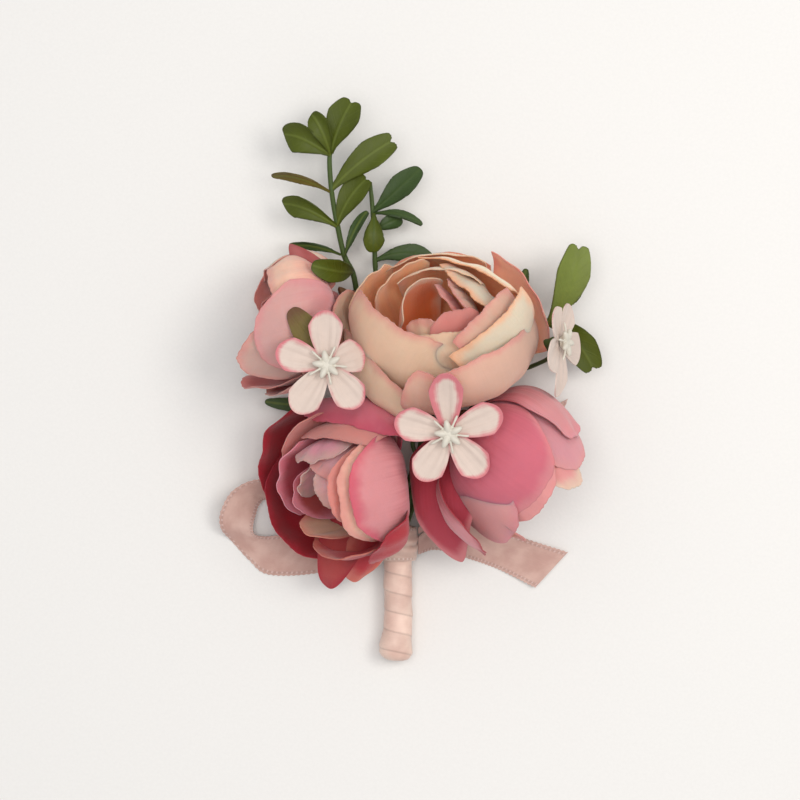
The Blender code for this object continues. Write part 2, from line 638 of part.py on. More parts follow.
def blossom_petal_grid(flower, number, across, along):
    axis, first, second = frame_from(flower["axis"], flower["zero"])
    turn = math.radians(flower["start"] + 72 * number)
    out = math.cos(turn) * first + math.sin(turn) * second
    centre = np.asarray(flower["centre"])
    length, lift = flower["lengths"][number], flower["lifts"][number]
    route = (centre + out * 1.4, centre + out * (length * 0.4) + axis * (0.2 + lift * 0.1),
             centre + out * (length * 0.75) + axis * (0.5 + lift * 0.5), centre + out * length + axis * lift)
    return blade_grid(route, BLOSSOM_HALF_WIDTH, axis, across, along, cup=0.7, root_share=0.38, widest=0.72, tip=0.32)


def build_blossom(flower):
    disc = turned("disc", [(BLOSSOM_HOLE, 0.35), (BLOSSOM_DISC, 0.3), (BLOSSOM_DISC, -0.3), (BLOSSOM_HOLE, -0.35),
                           (BLOSSOM_HOLE, 0.35)], flower["centre"], flower["axis"])
    pieces = [disc]
    for number in range(5):
        pieces.append(sheet_from_grid("petal", blossom_petal_grid(flower, number, *BLOSSOM_GRID)))
    return fuse(flower["name"] + "_petals", pieces, white_cloth())


def build_stamens(flower):
    """A moulded star: a low dome with thick lobes and thin threads between them."""
    axis, first, second = frame_from(flower["axis"], flower["zero"])
    centre = np.asarray(flower["centre"]) + axis * (0.35 + GAP)
    dome = turned("dome", [(0, 2.0), (1.2, 1.6), (1.7, 0.6), (1.5, 0.0), (0, 0.0)], centre, axis, sides=8)
    pieces = [dome]
    for k in range(10):
        angle = math.radians(36 * k + 12)
        out = math.cos(angle) * first + math.sin(angle) * second
        thick = k % 2 == 0
        reach = STAR_LOBE if thick else STAR_THREAD
        size = 0.85 if thick else 0.32
        start = centre + out * 0.4 + axis * 0.9
        end = centre + out * reach + axis * (1.7 if thick else 1.1)
        pieces.append(tube("lobe", [start, end], [size, size * 0.7], sides=5 if thick else 4))
    return fuse(flower["name"] + "_stamens", pieces, white_plastic())


# The one leaf that grows from under a blossom
BLOSSOM_LEAF = leaf((-17.8, 59.0, 32.8), (-20.0, 63.0, 33.5), (-23.0, 68.0, 33.9), (-26.5, 72.4, 33.3), 3.3,
                    cup=0.3, widest=0.6, tip=0.4)


def build_blossom_stem(flower, place, middle):
    axis = unit(flower["axis"])
    centre = np.asarray(flower["centre"])
    cup = turned("cup", [(0, 0.2), (0.6, 0.2), (0.6, -0.35 - GAP), (1.5, -0.35 - GAP), (1.2, -1.9), (0.75, -3.4),
                         (0, -3.4)], centre, axis, sides=8)
    beyond = list(middle) + [tuple(centre - axis * 3.6), tuple(centre - axis * 2.4)]
    pieces = [cup, stem_tube("stem", place, beyond)]
    if flower is LEFT_BLOSSOM:
        pieces.append(sheet_from_grid("leaf", blade_grid(across=LEAF_GRID[0], along=LEAF_GRID[1], **BLOSSOM_LEAF)))
    return fuse(flower["name"] + "_stem", pieces, stem_plastic())


BLOSSOM_STEMS = [
    (LEFT_BLOSSOM, slot(180), ((-4.6, 28.0, 4.3), (-8.6, 41.0, 4.2), (-12.6, 53.0, 7.4), (-16.4, 57.8, 16.0))),
    (CENTRE_BLOSSOM, slot(90), ((1.6, 26.0, 9.0), (4.8, 34.0, 12.4), (4.0, 40.0, 20.0))),
    (RIGHT_BLOSSOM, slot(0), ((7.0, 30.0, 4.2), (16.0, 44.0, 4.0), (26.0, 55.5, 4.6), (34.0, 58.5, 7.0),
                              (38.4, 61.0, 18.0))),
]


# Greenery

SPRAY_A = dict(
    name="left_spray", place=slot(225), stem=((-4.6, 35.0, 2.2), (-8.2, 55.0, 2.3), (-9.9, 70.0, 3.0),
                                              (-11.3, 81.5, 5.2), (-13.8, 87.0, 7.0), (-15.6, 95.0, 9.0),
                                              (-17.0, 103.5, 11.0), (-17.5, 111.5, 12.5), (-16.8, 114.0, 13.0)),
    radius=0.75,
    leaves=[
        leaf((-17.2, 113.0, 13.0), (-16.2, 117.0, 14.5), (-14.5, 121.0, 16.0), (-11.6, 126.0, 14.5), 4.2,
             facing=(-0.25, 0.1, 1), notch=0.16),
        leaf((-17.2, 112.6, 13.0), (-21.0, 114.5, 15.5), (-25.0, 117.5, 16.5), (-29.0, 117.8, 13.0), 3.8,
             facing=(0.1, -0.4, 0.9), cup=1.6),
        leaf((-17.4, 112.8, 13.2), (-18.0, 115.5, 16.5), (-20.0, 120.0, 18.0), (-21.8, 122.5, 16.5), 2.6,
             facing=(0.2, -0.7, 0.7), cup=1.0),
        leaf((-17.4, 103.3, 11.2), (-21.5, 105.5, 12.5), (-27.5, 108.3, 12.0), (-32.3, 107.4, 9.0), 1.8,
             facing=(0.1, -0.8, 0.6), cup=0.5),
        leaf((-17.1, 103.8, 11.2), (-13.5, 107.5, 12.5), (-9.5, 111.5, 14.0), (-1.2, 116.2, 13.5), 3.9,
             facing=(0.1, 0.1, 1), notch=0.14, widest=0.85, stalk=0.15),
        leaf((-15.8, 94.6, 9.4), (-20.0, 97.3, 12.0), (-26.0, 100.5, 11.5), (-29.4, 100.4, 8.5), 2.8,
             facing=(0.1, -0.4, 0.9), cup=1.2),
        leaf((-15.6, 94.9, 9.4), (-14.3, 98.5, 11.0), (-12.6, 102.5, 12.5), (-7.8, 106.6, 11.5), 3.4,
             facing=(-0.3, 0.2, 1), notch=0.12),
        leaf((-13.9, 86.6, 7.2), (-12.5, 90.5, 9.5), (-11.0, 95.0, 9.8), (-7.8, 98.4, 8.6), 1.5,
             facing=(-0.4, 0.2, 0.9), cup=0.4),
        leaf((-14.0, 87.2, 7.2), (-18.0, 88.8, 9.0), (-23.0, 90.2, 9.0), (-28.0, 89.8, 7.0), 1.2,
             facing=(0.0, -0.6, 0.8), cup=0.3),
        leaf((-11.8, 83.0, 6.0), (-12.0, 82.5, 15.0), (-14.5, 81.5, 27.0), (-21.5, 83.6, 27.6), 3.0,
             facing=(0.3, -0.3, 0.9), cup=0.8),
        leaf((-7.6, 50.0, 2.3), (-16.0, 49.0, 3.0), (-25.0, 48.0, 3.4), (-34.5, 49.6, 2.8), 1.8, cup=0.3),
    ])

SPRAY_B = dict(
    name="middle_spray", place=slot(270), stem=((-1.2, 35.0, 1.7), (-3.0, 55.0, 1.8), (-4.2, 70.0, 2.3),
                                                (-5.8, 83.5, 4.5), (-6.1, 90.8, 6.0), (-6.6, 99.5, 7.5),
                                                (-7.2, 106.0, 8.0)),
    radius=0.7,
    leaves=[
        leaf((-6.5, 98.5, 7.6), (-3.0, 101.0, 9.0), (0.5, 104.5, 10.5), (5.8, 109.3, 9.5), 3.4,
             facing=(-0.3, 0.2, 1), tip=0.35),
        leaf((-6.4, 97.8, 7.4), (-3.0, 98.6, 8.5), (2.0, 98.0, 8.0), (6.2, 95.2, 6.0), 1.5,
             facing=(0.2, 0.6, 0.8), cup=0.4),
        leaf((-6.3, 98.0, 7.6), (-6.0, 94.5, 10.5), (-6.3, 91.5, 11.5), (-6.4, 88.0, 9.0), 2.6,
             facing=(0.1, 0.2, 1), cup=1.0),
        leaf((-6.2, 93.5, 6.6), (-3.6, 95.0, 8.5), (-1.5, 96.0, 8.0), (0.8, 96.8, 6.0), 2.2,
             facing=(0.1, 0.3, 1), cup=0.6),
        leaf((-5.9, 86.0, 5.0), (-1.5, 88.0, 6.0), (3.5, 88.8, 6.5), (9.0, 86.0, 5.0), 2.6,
             facing=(0.1, 0.2, 1), cup=0.6),
    ])

SPRAY_C = dict(
    name="right_spray", place=slot(315), stem=((6.0, 32.0, 1.9), (14.0, 48.0, 2.2), (24.0, 60.5, 3.2),
                                               (33.0, 67.5, 5.6), (39.0, 70.2, 8.5)),
    radius=0.65,
    leaves=[
        leaf((38.4, 69.8, 8.4), (41.5, 73.0, 12.0), (44.5, 80.0, 15.5), (46.0, 89.2, 14.5), 4.3,
             facing=(0.35, -0.1, 0.95), notch=0.16),
        leaf((38.2, 69.6, 8.2), (40.5, 73.5, 9.0), (44.0, 76.5, 9.5), (47.5, 79.5, 8.0), 2.0,
             facing=(0.4, -0.3, 0.9), cup=0.5),
        leaf((38.4, 69.6, 8.3), (42.0, 69.5, 9.5), (46.5, 65.5, 10.5), (50.3, 57.8, 8.5), 4.0,
             facing=(-0.2, -0.1, 1), notch=0.14),
        leaf((29.0, 64.6, 4.4), (30.0, 70.0, 4.8), (31.5, 77.0, 5.2), (33.0, 83.8, 7.0), 1.6, cup=0.3),
    ])


def build_spray(spray):
    pieces = [stem_tube("stem", spray["place"], spray["stem"], spray["radius"])]
    for shape in spray["leaves"]:
        pieces.append(sheet_from_grid("leaf", blade_grid(across=LEAF_GRID[0], along=LEAF_GRID[1], **shape)))
    surface = dark_leaf_plastic() if spray is SPRAY_B else leaf_plastic()
    return fuse(spray["name"], pieces, surface)


# Handle and ribbon

def build_handle_wrap():
    """The ribbon wound round the stems: a sleeve closed at the cut ends and open where the stems leave it."""
    ys = [HANDLE_END, HANDLE_END + 0.7, HANDLE_END + 1.8, HANDLE_END + 5.0, HANDLE_END + 9.0, 2.0, 6.0,
          HANDLE_RISE_END, HANDLE_TOP]
    radii = [2.2, 3.3] + [HANDLE_RADIUS] * 7
    swells = [0.5, 0.8, 1.0, 0.9] + [0.0] * 5
    inner = HANDLE_RADIUS - HANDLE_WALL
    inside = [HANDLE_TOP, HANDLE_RISE_END, 6.0, 2.0, HANDLE_END + 1.0]
    rings = list(zip(ys, radii, swells)) + [(y, inner, 0.0) for y in inside]
    vertices = []
    for y, r, swell in rings:
        for k in range(HANDLE_SIDES):
            angle = 2 * math.pi * (k + 0.5) / HANDLE_SIDES
            x = r * math.cos(angle) + swell * HANDLE_BULGE * min(0.0, math.cos(angle))
            vertices.append((x, y, max(0.0, handle_axis(y) + r * math.sin(angle))))
    faces = []
    for ring in range(len(rings) - 1):
        low, high = ring * HANDLE_SIDES, (ring + 1) * HANDLE_SIDES
        for k in range(HANDLE_SIDES):
            n = (k + 1) % HANDLE_SIDES
            faces.append((low + k, low + n, high + n, high + k))
    last = (len(rings) - 1) * HANDLE_SIDES
    faces.append(tuple(range(HANDLE_SIDES)))
    faces.append(tuple(range(last, last + HANDLE_SIDES)))
    wrap = mesh_from("handle_wrap", vertices, faces, satin_ribbon())
    wrap.data.shade_smooth()
    wrap.data.set_sharp_from_angle(angle=math.radians(50))
    return wrap


def strip(name, one_edge, other_edge, across=2, steps=2):
    """A ribbon strip between two edges that are given by matching points."""
    first, second = smooth_route(one_edge, steps), smooth_route(other_edge, steps)
    share = np.linspace(0.0, 1.0, across)[:, None, None]
    points = first[None] * (1 - share) + second[None] * share
    points[..., 2] = np.maximum(points[..., 2], SHEET / 2)
    made = sheet_from_grid(name, points)
    made.data.materials.append(satin_ribbon())
    made.data.shade_smooth()
    made.data.set_sharp_from_angle(angle=math.radians(50))
    return made


KNOT_OUTER = HANDLE_RADIUS + GAP + 0.7
LOOP_OUTER = ((-5.2, 17.0, 7.0), (-11.0, 21.5, 3.6), (-22.0, 27.0, 3.8), (-34.5, 29.6, 8.0), (-42.0, 27.0, 8.5),
              (-45.6, 21.5, 6.5), (-45.9, 17.0, 4.0), (-43.4, 13.4, 0.4), (-38.8, 8.4, 0.4), (-33.6, 4.6, 0.4),
              (-21.0, 5.0, 0.4), (-10.0, 8.6, 0.5), (-5.2, 9.4, 2.6))
LOOP_INNER = ((-5.2, 13.0, 7.4), (-12.0, 14.6, 2.6), (-22.5, 18.6, 2.2), (-33.0, 23.9, 2.0), (-35.8, 23.2, 2.6),
              (-37.0, 20.0, 3.0), (-37.6, 17.4, 3.2), (-37.2, 15.2, 3.2), (-34.6, 14.6, 2.9), (-29.5, 14.9, 2.4),
              (-20.0, 14.6, 1.0), (-10.6, 13.2, 0.5), (-5.2, 12.0, 3.2))
TAIL_UPPER = ((5.2, 14.6, 3.6), (11.0, 18.8, 0.5), (20.0, 18.0, 0.3), (32.0, 14.2, 0.4), (44.2, 10.4, 1.4))
TAIL_LOWER = ((5.2, 10.0, 3.0), (10.0, 11.0, 0.5), (18.0, 8.8, 0.3), (26.0, 6.0, 0.4), (35.7, 1.2, 1.4))
CLIMB_LEFT = ((5.2, 17.0, 5.0), (11.0, 24.5, 0.9), (20.0, 33.5, 0.3), (30.0, 42.5, 0.3), (36.6, 46.4, 0.8))
CLIMB_RIGHT = ((5.2, 15.4, 4.6), (15.0, 19.6, 0.9), (27.0, 26.5, 0.3), (38.0, 35.5, 0.3), (44.2, 50.4, 1.2))


def build_knot():
    """The band of ribbon tied round the top of the handle."""
    vertices = []
    rings = [(KNOT_LOW, 0.0), (KNOT_LOW + 1.0, 0.35), (KNOT_HIGH - 1.0, 0.35), (KNOT_HIGH, 0.0)]
    inner = HANDLE_RADIUS + GAP
    stations = [(y, KNOT_OUTER + bulge) for y, bulge in rings]
    stations += [(y, inner) for y in (KNOT_HIGH, HANDLE_RISE_END, KNOT_LOW)]
    for y, r in stations:
        for k in range(HANDLE_SIDES):
            angle = 2 * math.pi * (k + 0.5) / HANDLE_SIDES
            vertices.append((r * math.cos(angle), y, max(0.0, handle_axis(y) + r * math.sin(angle))))
    faces = []
    for ring in range(len(stations)):
        low, high = ring * HANDLE_SIDES, ((ring + 1) % len(stations)) * HANDLE_SIDES
        for k in range(HANDLE_SIDES):
            n = (k + 1) % HANDLE_SIDES
            faces.append((low + k, low + n, high + n, high + k))
    return mesh_from("ribbon_knot", vertices, faces, satin_ribbon())


def build_ribbon():
    strip("ribbon_loop", LOOP_OUTER, LOOP_INNER)
    strip("ribbon_tail", TAIL_UPPER, TAIL_LOWER)
    strip("ribbon_upper_tail", CLIMB_LEFT, CLIMB_RIGHT)


def clear_scene():
    for thing in list(bpy.data.objects):
        bpy.data.objects.remove(thing)


def main():
    clear_scene()
    build_bloom(PEACH, PEACH_PETALS, (), peach_cloth())
    build_bloom(BLUSH, BLUSH_PETALS, BLUSH_LOOSE, blush_cloth())
    build_bloom(CRIMSON, CRIMSON_PETALS, CRIMSON_LOOSE, crimson_cloth())
    build_bloom(ROSE, ROSE_PETALS, ROSE_LOOSE, rose_cloth())
    for bloom, place, middle in BLOOM_STEMS:
        build_bloom_stem(bloom, place, middle)
    for flower in BLOSSOMS:
        build_blossom(flower)
        build_stamens(flower)
    for flower, place, middle in BLOSSOM_STEMS:
        build_blossom_stem(flower, place, middle)
    for spray in (SPRAY_A, SPRAY_B, SPRAY_C):
        build_spray(spray)
    build_handle_wrap()
    build_knot()
    build_ribbon()


if __name__ == "__main__":
    main()
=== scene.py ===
"""Dresses the corsage: cloth blooms and blossoms, moulded greenery, a ribbon-wound handle and satin ribbon.

Tables are in millimetres and meshes in metres, in the same frame as the packed solids. +Z is up, the stems run
along +Y, and the camera looks straight down.
"""

import math

import bpy
import numpy as np
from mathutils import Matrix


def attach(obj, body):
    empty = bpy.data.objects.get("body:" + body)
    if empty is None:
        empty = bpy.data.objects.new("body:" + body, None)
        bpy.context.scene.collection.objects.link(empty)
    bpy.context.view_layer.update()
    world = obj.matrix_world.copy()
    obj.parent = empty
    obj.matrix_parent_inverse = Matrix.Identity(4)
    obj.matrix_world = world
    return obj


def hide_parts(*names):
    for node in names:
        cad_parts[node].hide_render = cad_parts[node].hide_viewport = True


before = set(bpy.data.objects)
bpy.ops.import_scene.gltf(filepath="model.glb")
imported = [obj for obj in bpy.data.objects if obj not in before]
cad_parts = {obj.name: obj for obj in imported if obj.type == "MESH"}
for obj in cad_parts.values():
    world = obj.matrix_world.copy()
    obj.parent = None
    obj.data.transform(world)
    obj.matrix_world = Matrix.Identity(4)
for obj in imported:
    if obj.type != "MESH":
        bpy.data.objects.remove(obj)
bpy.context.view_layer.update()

bl_info = {
    "name": "Corsage",
    "version": (1, 0, 0),
    "blender": (4, 5, 0),
    "location": "3D View > Sidebar > Corsage",
    "description": "Dresses a corsage of cloth blooms, moulded greenery and satin ribbon",
    "category": "Add Mesh",
}

MM = 0.001
TURN = 2 * math.pi
SHEET = 0.6               # thickness that the solids give to a petal or a leaf
GAP = 0.3                 # space between neighbouring pieces
PRESS_DEPTH = 1.2         # how far inside its room a bloom starts to give way to its neighbours
LAYER = 0.06              # how much further inside its room each petal of a bloom stays than the one before
PETAL_ROOT_SHARE = 0.14   # how wide a petal is at its root, against its full width
MIN_WRAP = 4.5            # tightest radius that a petal is bent to
PETAL_BEND = 1.15         # length of a bent petal against the straight line
WAVES = 5                 # slow waves that are summed to crumple a petal
RIPPLES = 3.0             # waves across the rippled edge of a petal
DRAWN_TURN = 6.28         # largest angle that is drawn at random
SEED_CYCLE = 29           # how many petals have a cloth pattern of their own
SIDE_SCALE = 10.0         # a petal or leaf counts from -10 to 10 across, whatever its width

HANDLE_RADIUS = 3.7
HANDLE_WALL = 0.65
HANDLE_END = -17.4
HANDLE_BULGE = 1.2         # how far the wound end swells to the left
HANDLE_TOP = 17.6
HANDLE_AXIS_LOW = 3.55
HANDLE_AXIS_HIGH = 5.0
HANDLE_RISE_START = 2.0
HANDLE_RISE_END = 12.0
KNOT_LOW = 8.6
KNOT_HIGH = 17.2
KNOT_OUTER = HANDLE_RADIUS + GAP + 0.7
SLEEVE_SIDES = 72
HANDLE_STEP = 0.16        # distance between two rings of the handle
KNOT_STEP = 0.2
TUCK_LENGTH = 2.6         # how far the ribbon rounds in at the cut end
SLEEVE_TINT_AND_LIGHT = (1.14, 1.28, 1.26)    # the wound ribbon is creamier than elsewhere, and painted light makes it lighter too

STEM_RADIUS = 0.55
STEM_RING = 2.2
STEM_PAIR = 0.75
STEM_START = -13.2
CORE_RADIUS = 3.0
CORE_TOP = 5.0
SOCKET_RADIUS = 0.95
SOCKET_DEPTH = 2.8
PEG_RADIUS = 0.62
CALYX_RADIUS = 2.9
CALYX_LENGTH = 4.6

BLOSSOM_HALF_WIDTH = 4.25
BLOSSOM_HOLE = 0.95
BLOSSOM_DISC = 2.6
BLOSSOM_PETALS = 5
STAR_ARMS = 10            # lobes and threads in turn
STAR_LOBE = 3.6
STAR_THREAD = 5.0
LOBE_RADII = (0.85, 0.9, 0.92, 0.9, 0.84, 0.74, 0.58, 0.3)
THREAD_RADII = (0.4, 0.36, 0.33, 0.3, 0.28, 0.3, 0.34, 0.2)

FINE_CELLS = (48, 26)     # cells across and along a petal that is seen whole
INNER_CELLS = (36, 18)    # the same for a petal deep inside a bloom
BLOSSOM_CELLS = (26, 30)
LEAF_CELLS = (24, 40)
LEAF_BEND = 1.06          # length of a bent leaf or loose petal against the straight line
LEAF_WIDTH = 1.08         # width of a leaf against its table
LEAF_WIDEST = 0.12        # how much nearer to the tip than in its table a leaf is widest
VEIN_STEP = 3.1           # distance between two side veins of a leaf
VEIN_SLANT = 1.15
TUBE_SIDES = 12
TURNED_SIDES = 28
SMALLEST_RADIUS = 0.004   # stands in for 0, so that a tip keeps its ring of points
LOBES = 5                 # waves round the outline of a calyx
SHARP_ANGLE = 55          # degrees between two faces from which their edge is drawn sharp

RIBBON_WIDTH = 10.0
WEFT_STEP = 0.22          # distance between two crosswise threads of the satin
RIBBON_STEP = 0.17        # distance between two rows of points along a ribbon
RIBBON_COLUMNS = (0, 0.02, 0.05, 0.09, 0.14, 0.2, 0.28, 0.36, 0.44, 0.5, 0.56, 0.64, 0.72, 0.8, 0.86, 0.91,
                  0.95, 0.98, 1.0)

TABLE_HALF = 1.2          # metres, like the other places of the stage
TABLE_LEVEL = -0.0001
LIT_PLACE = (0.0, 0.05, 0.01)
CAMERA_PLACE = (0.0005, 0.050)
SKY_TINT = (0.95, 0.96, 1.0, 1.0)


# Sizes and colours

def linear(channel):
    """A screen colour's channel from 0 to 255, as light from 0 to 1."""
    share = channel / 255
    return share / 12.92 if share <= 0.04045 else ((share + 0.055) / 1.055) ** 2.4


def colour(name, *channels):
    return bpy.props.FloatVectorProperty(
        name=name, description="Colour of the " + name.lower(), subtype="COLOR", size=3, min=0.0, max=1.0,
        default=tuple(linear(channel) for channel in channels))


def length(name, description, default):
    """A length given in millimetres."""
    return bpy.props.FloatProperty(name=name, description=description, unit="LENGTH", precision=5, min=0.0,
                                   default=default * MM)


def amount(name, description, default):
    return bpy.props.FloatProperty(name=name, description=description, subtype="FACTOR", min=0.0, max=4.0,
                                   default=default)


def power(name, description, default):
    return bpy.props.FloatProperty(name=name, description=description, unit="POWER", default=default, min=0.0)


class PetalCloth(bpy.types.PropertyGroup):
    """Cloth of the four blooms."""

    thickness: length("Thickness", "Thickness of the cloth", 0.28)
    pleat: length("Pleats", "Height of the soft pleats that fan out from a petal's root", 0.10)
    crumple: length("Crumple", "Height of the slow waves in a petal", 0.16)
    ruffle: length("Ruffle", "How far a petal's free edge waves", 0.16)
    lip: length("Lip", "How far a petal's free edge turns out", 0.32)
    weave: length("Weave", "Distance between two threads of the cloth", 0.30)
    dye: amount("Dye strength", "How light the dyed cloth is against its colours below", 1.05)
    cream: colour("Cream", 212, 177, 151)
    ivory: colour("Ivory", 206, 190, 168)
    beige: colour("Beige", 184, 154, 130)
    # The next three colours are painted light: lighter than the cloth itself, they brighten petal faces deep in
    # shade, as if light shone through the cloth.
    light_cream: colour("Light cream", 240, 212, 182)
    light_peach: colour("Light peach", 254, 176, 130)
    light_rose: colour("Light rose", 246, 182, 160)
    pink_cream: colour("Pink cream", 202, 162, 143)
    peach: colour("Peach", 228, 164, 126)
    apricot: colour("Apricot", 230, 152, 108)
    orange: colour("Orange", 222, 130, 84)
    ember: colour("Ember", 216, 116, 62)
    pink_edge: colour("Pink edge", 204, 136, 128)
    salmon: colour("Salmon", 208, 130, 122)
    brick: colour("Brick", 196, 96, 82)
    blush: colour("Blush", 201, 152, 146)
    pale_blush: colour("Pale blush", 188, 156, 146)
    brown_rose: colour("Brown rose", 170, 112, 102)
    dark_rose: colour("Dark rose", 146, 66, 66)
    tip_rose: colour("Tip rose", 160, 92, 90)
    raspberry: colour("Raspberry", 204, 132, 134)
    hot_pink: colour("Hot pink", 192, 78, 98)
    coral: colour("Coral", 190, 112, 98)
    mauve: colour("Mauve", 214, 138, 152)
    crimson: colour("Crimson", 146, 26, 42)
    deep_red: colour("Deep red", 124, 10, 24)
    muted_red: colour("Muted red", 158, 64, 62)
    bright_red: colour("Bright red", 164, 46, 54)
    pale_mauve: colour("Pale mauve", 228, 168, 174)
    straw: colour("Straw", 190, 158, 132)
    rose: colour("Rose", 196, 100, 114)
    band_pink: colour("Band pink", 202, 136, 142)
    pale_rose: colour("Pale rose", 206, 140, 138)
    rust: colour("Rust", 176, 112, 84)
    dark_pink: colour("Dark pink", 170, 72, 84)
    wine: colour("Wine", 164, 58, 72)


class BlossomCloth(bpy.types.PropertyGroup):
    """Cloth and moulded stamens of the three small blossoms."""

    thickness: length("Thickness", "Thickness of the cloth", 0.32)
    groove: length("Groove", "Depth of the fold along the middle of a petal", 0.35)
    dye: amount("Dye strength", "How light the cloth is against its colours below", 1.0)
    white: colour("White", 206, 188, 176)
    pink: colour("Pink", 200, 116, 122)
    stamen: colour("Stamens", 206, 200, 186)
    star_detail: length("Star detail", "Cell size of the moulded star of stamens", 0.13)


class Greenery(bpy.types.PropertyGroup):
    """Moulded leaves and stems."""

    thickness: length("Thickness", "Thickness of a leaf", 0.38)
    rib: length("Midrib", "Height of the rib along a leaf", 0.16)
    vein: length("Veins", "Height of the side veins of a leaf", 0.05)
    dye: amount("Dye strength", "How light the plastic is against its colours below", 0.95)
    leaf_green: colour("Leaf green", 74, 84, 10)
    pale_green: colour("Pale green", 108, 120, 48)
    dark_green: colour("Dark green", 56, 76, 34)
    olive: colour("Olive", 104, 88, 30)
    stem_green: colour("Stem green", 66, 84, 36)
    calyx_brown: colour("Calyx brown", 96, 62, 32)


class SatinRibbon(bpy.types.PropertyGroup):
    """Satin ribbon of the handle, the knot, the loop and the tails."""

    thickness: length("Thickness", "Thickness of the ribbon", 0.22)
    turn: length("Turn", "Distance from one turn on the handle to the next", 5.0)
    stitch: length("Stitches", "Distance between two stitches of the woven edge", 1.15)
    dye: amount("Dye strength", "How light the satin is against its colours below", 1.1)
    satin: colour("Satin", 182, 143, 131)
    pale_satin: colour("Pale satin", 212, 180, 166)
    stitch_white: colour("Stitches", 200, 172, 164)


class Studio(bpy.types.PropertyGroup):
    """Floor, lights and camera."""

    floor: colour("Floor", 226, 224, 220)
    key_light: power("Key light", "Strength of the large soft light", 2.0)
    fill_light: power("Fill light", "Strength of the soft light from above", 3.1)
    sky: amount("Sky", "Strength of the even light from all round", 0.62)
    camera_height: length("Camera height", "Height of the camera above the floor", 625.0)
    lens: bpy.props.FloatProperty(name="Lens", description="Focal length of the camera",
                                  subtype="DISTANCE_CAMERA", default=108.0, min=1.0)


GROUPS = {"corsage_petals": PetalCloth, "corsage_blossoms": BlossomCloth, "corsage_greenery": Greenery,
          "corsage_ribbon": SatinRibbon, "corsage_studio": Studio}


def settings(name):
    return getattr(bpy.context.scene, name)


def mm(value):
    return value / MM


def dyed(group, name):
    """A colour of a group, lightened or darkened by the group's dye strength."""
    return np.minimum(np.array(getattr(group, name)) * group.dye, 0.9)


# Shader nodes

class Value:
    """A shader socket that can be reckoned with; each operation adds its node."""

    def __init__(self, recipe, socket):
        self.recipe, self.socket = recipe, socket

    def reckon(self, operation, *values):
        return self.recipe.node("ShaderNodeMath", {"operation": operation}, dict(enumerate(values)))

    def __add__(self, other):
        return self.reckon("ADD", self, other)

    __radd__ = __add__

    def __sub__(self, other):
        return self.reckon("SUBTRACT", self, other)

    def __rsub__(self, other):
        return self.reckon("SUBTRACT", other, self)

    def __mul__(self, other):
        return self.reckon("MULTIPLY", self, other)

    def __abs__(self):
        return self.reckon("ABSOLUTE", self)

    def sine(self):
        return self.reckon("SINE", self)

    def output(self, name):
        return Value(self.recipe, self.socket.node.outputs[name])


class Recipe:
    """A material, put together node by node."""

    def __init__(self, name):
        self.material = bpy.data.materials.new(name)
        self.material.use_nodes = True
        self.tree = self.material.node_tree
        self.tree.nodes.clear()

    def node(self, kind, choices, sockets, output=0):
        made = self.tree.nodes.new(kind)
        for name, choice in choices.items():
            setattr(made, name, choice)
        for name, value in sockets.items():
            if isinstance(value, Value):
                self.tree.links.new(value.socket, made.inputs[name])
            else:
                made.inputs[name].default_value = value
        return Value(self, made.outputs[output]) if len(made.outputs) else None

    def painted(self, name):
        """What the mesh carries under this name, as a vector."""
        return self.node("ShaderNodeAttribute", {"attribute_name": name}, {}, "Vector")

    def parts(self, vector):
        first = self.node("ShaderNodeSeparateXYZ", {}, {0: vector})
        return first, first.output("Y"), first.output("Z")

    def carried(self):
        """Edge distance, share of length and side of a place, then across, along and number of its cloth."""
        return (*self.parts(self.painted("place")), *self.parts(self.painted("cloth")))

    def joined(self, *parts):
        return self.node("ShaderNodeCombineXYZ", {}, dict(enumerate(parts)))

    def noise(self, place, size, detail=3.0):
        """Cloudy values about 0.5, with blotches of the given size in the units of place."""
        return self.node("ShaderNodeTexNoise", {}, {"Vector": place, "Scale": 1.0 / size, "Detail": detail})

    def rise(self, value, low, high):
        """0 below low, 1 above high, and a soft change between."""
        return self.node("ShaderNodeMapRange", {"interpolation_type": "SMOOTHSTEP"},
                         {"Value": value, "From Min": low, "From Max": high})

    def mix(self, first, second, share):
        return self.node("ShaderNodeMix", {"data_type": "RGBA"}, {0: share, 6: first, 7: second}, 2)

    def lit(self, tint, share):
        """A colour made lighter or darker."""
        return self.node("ShaderNodeVectorMath", {"operation": "SCALE"}, {0: tint, "Scale": share})

    def shaded(self, tint, shades):
        """A colour multiplied by another, channel by channel."""
        return self.node("ShaderNodeVectorMath", {"operation": "MULTIPLY"}, {0: tint, 1: shades})

    def finish(self, tint, roughness, height, **constants):
        """Closes the recipe; height is in millimetres."""
        normal = self.node("ShaderNodeBump", {}, {"Height": height, "Distance": MM})
        sockets = {"Base Color": tint, "Roughness": roughness, "Normal": normal}
        sockets.update({name.replace("_", " "): value for name, value in constants.items()})
        shader = self.node("ShaderNodeBsdfPrincipled", {}, sockets)
        self.node("ShaderNodeOutputMaterial", {}, {"Surface": shader})
        return self.material


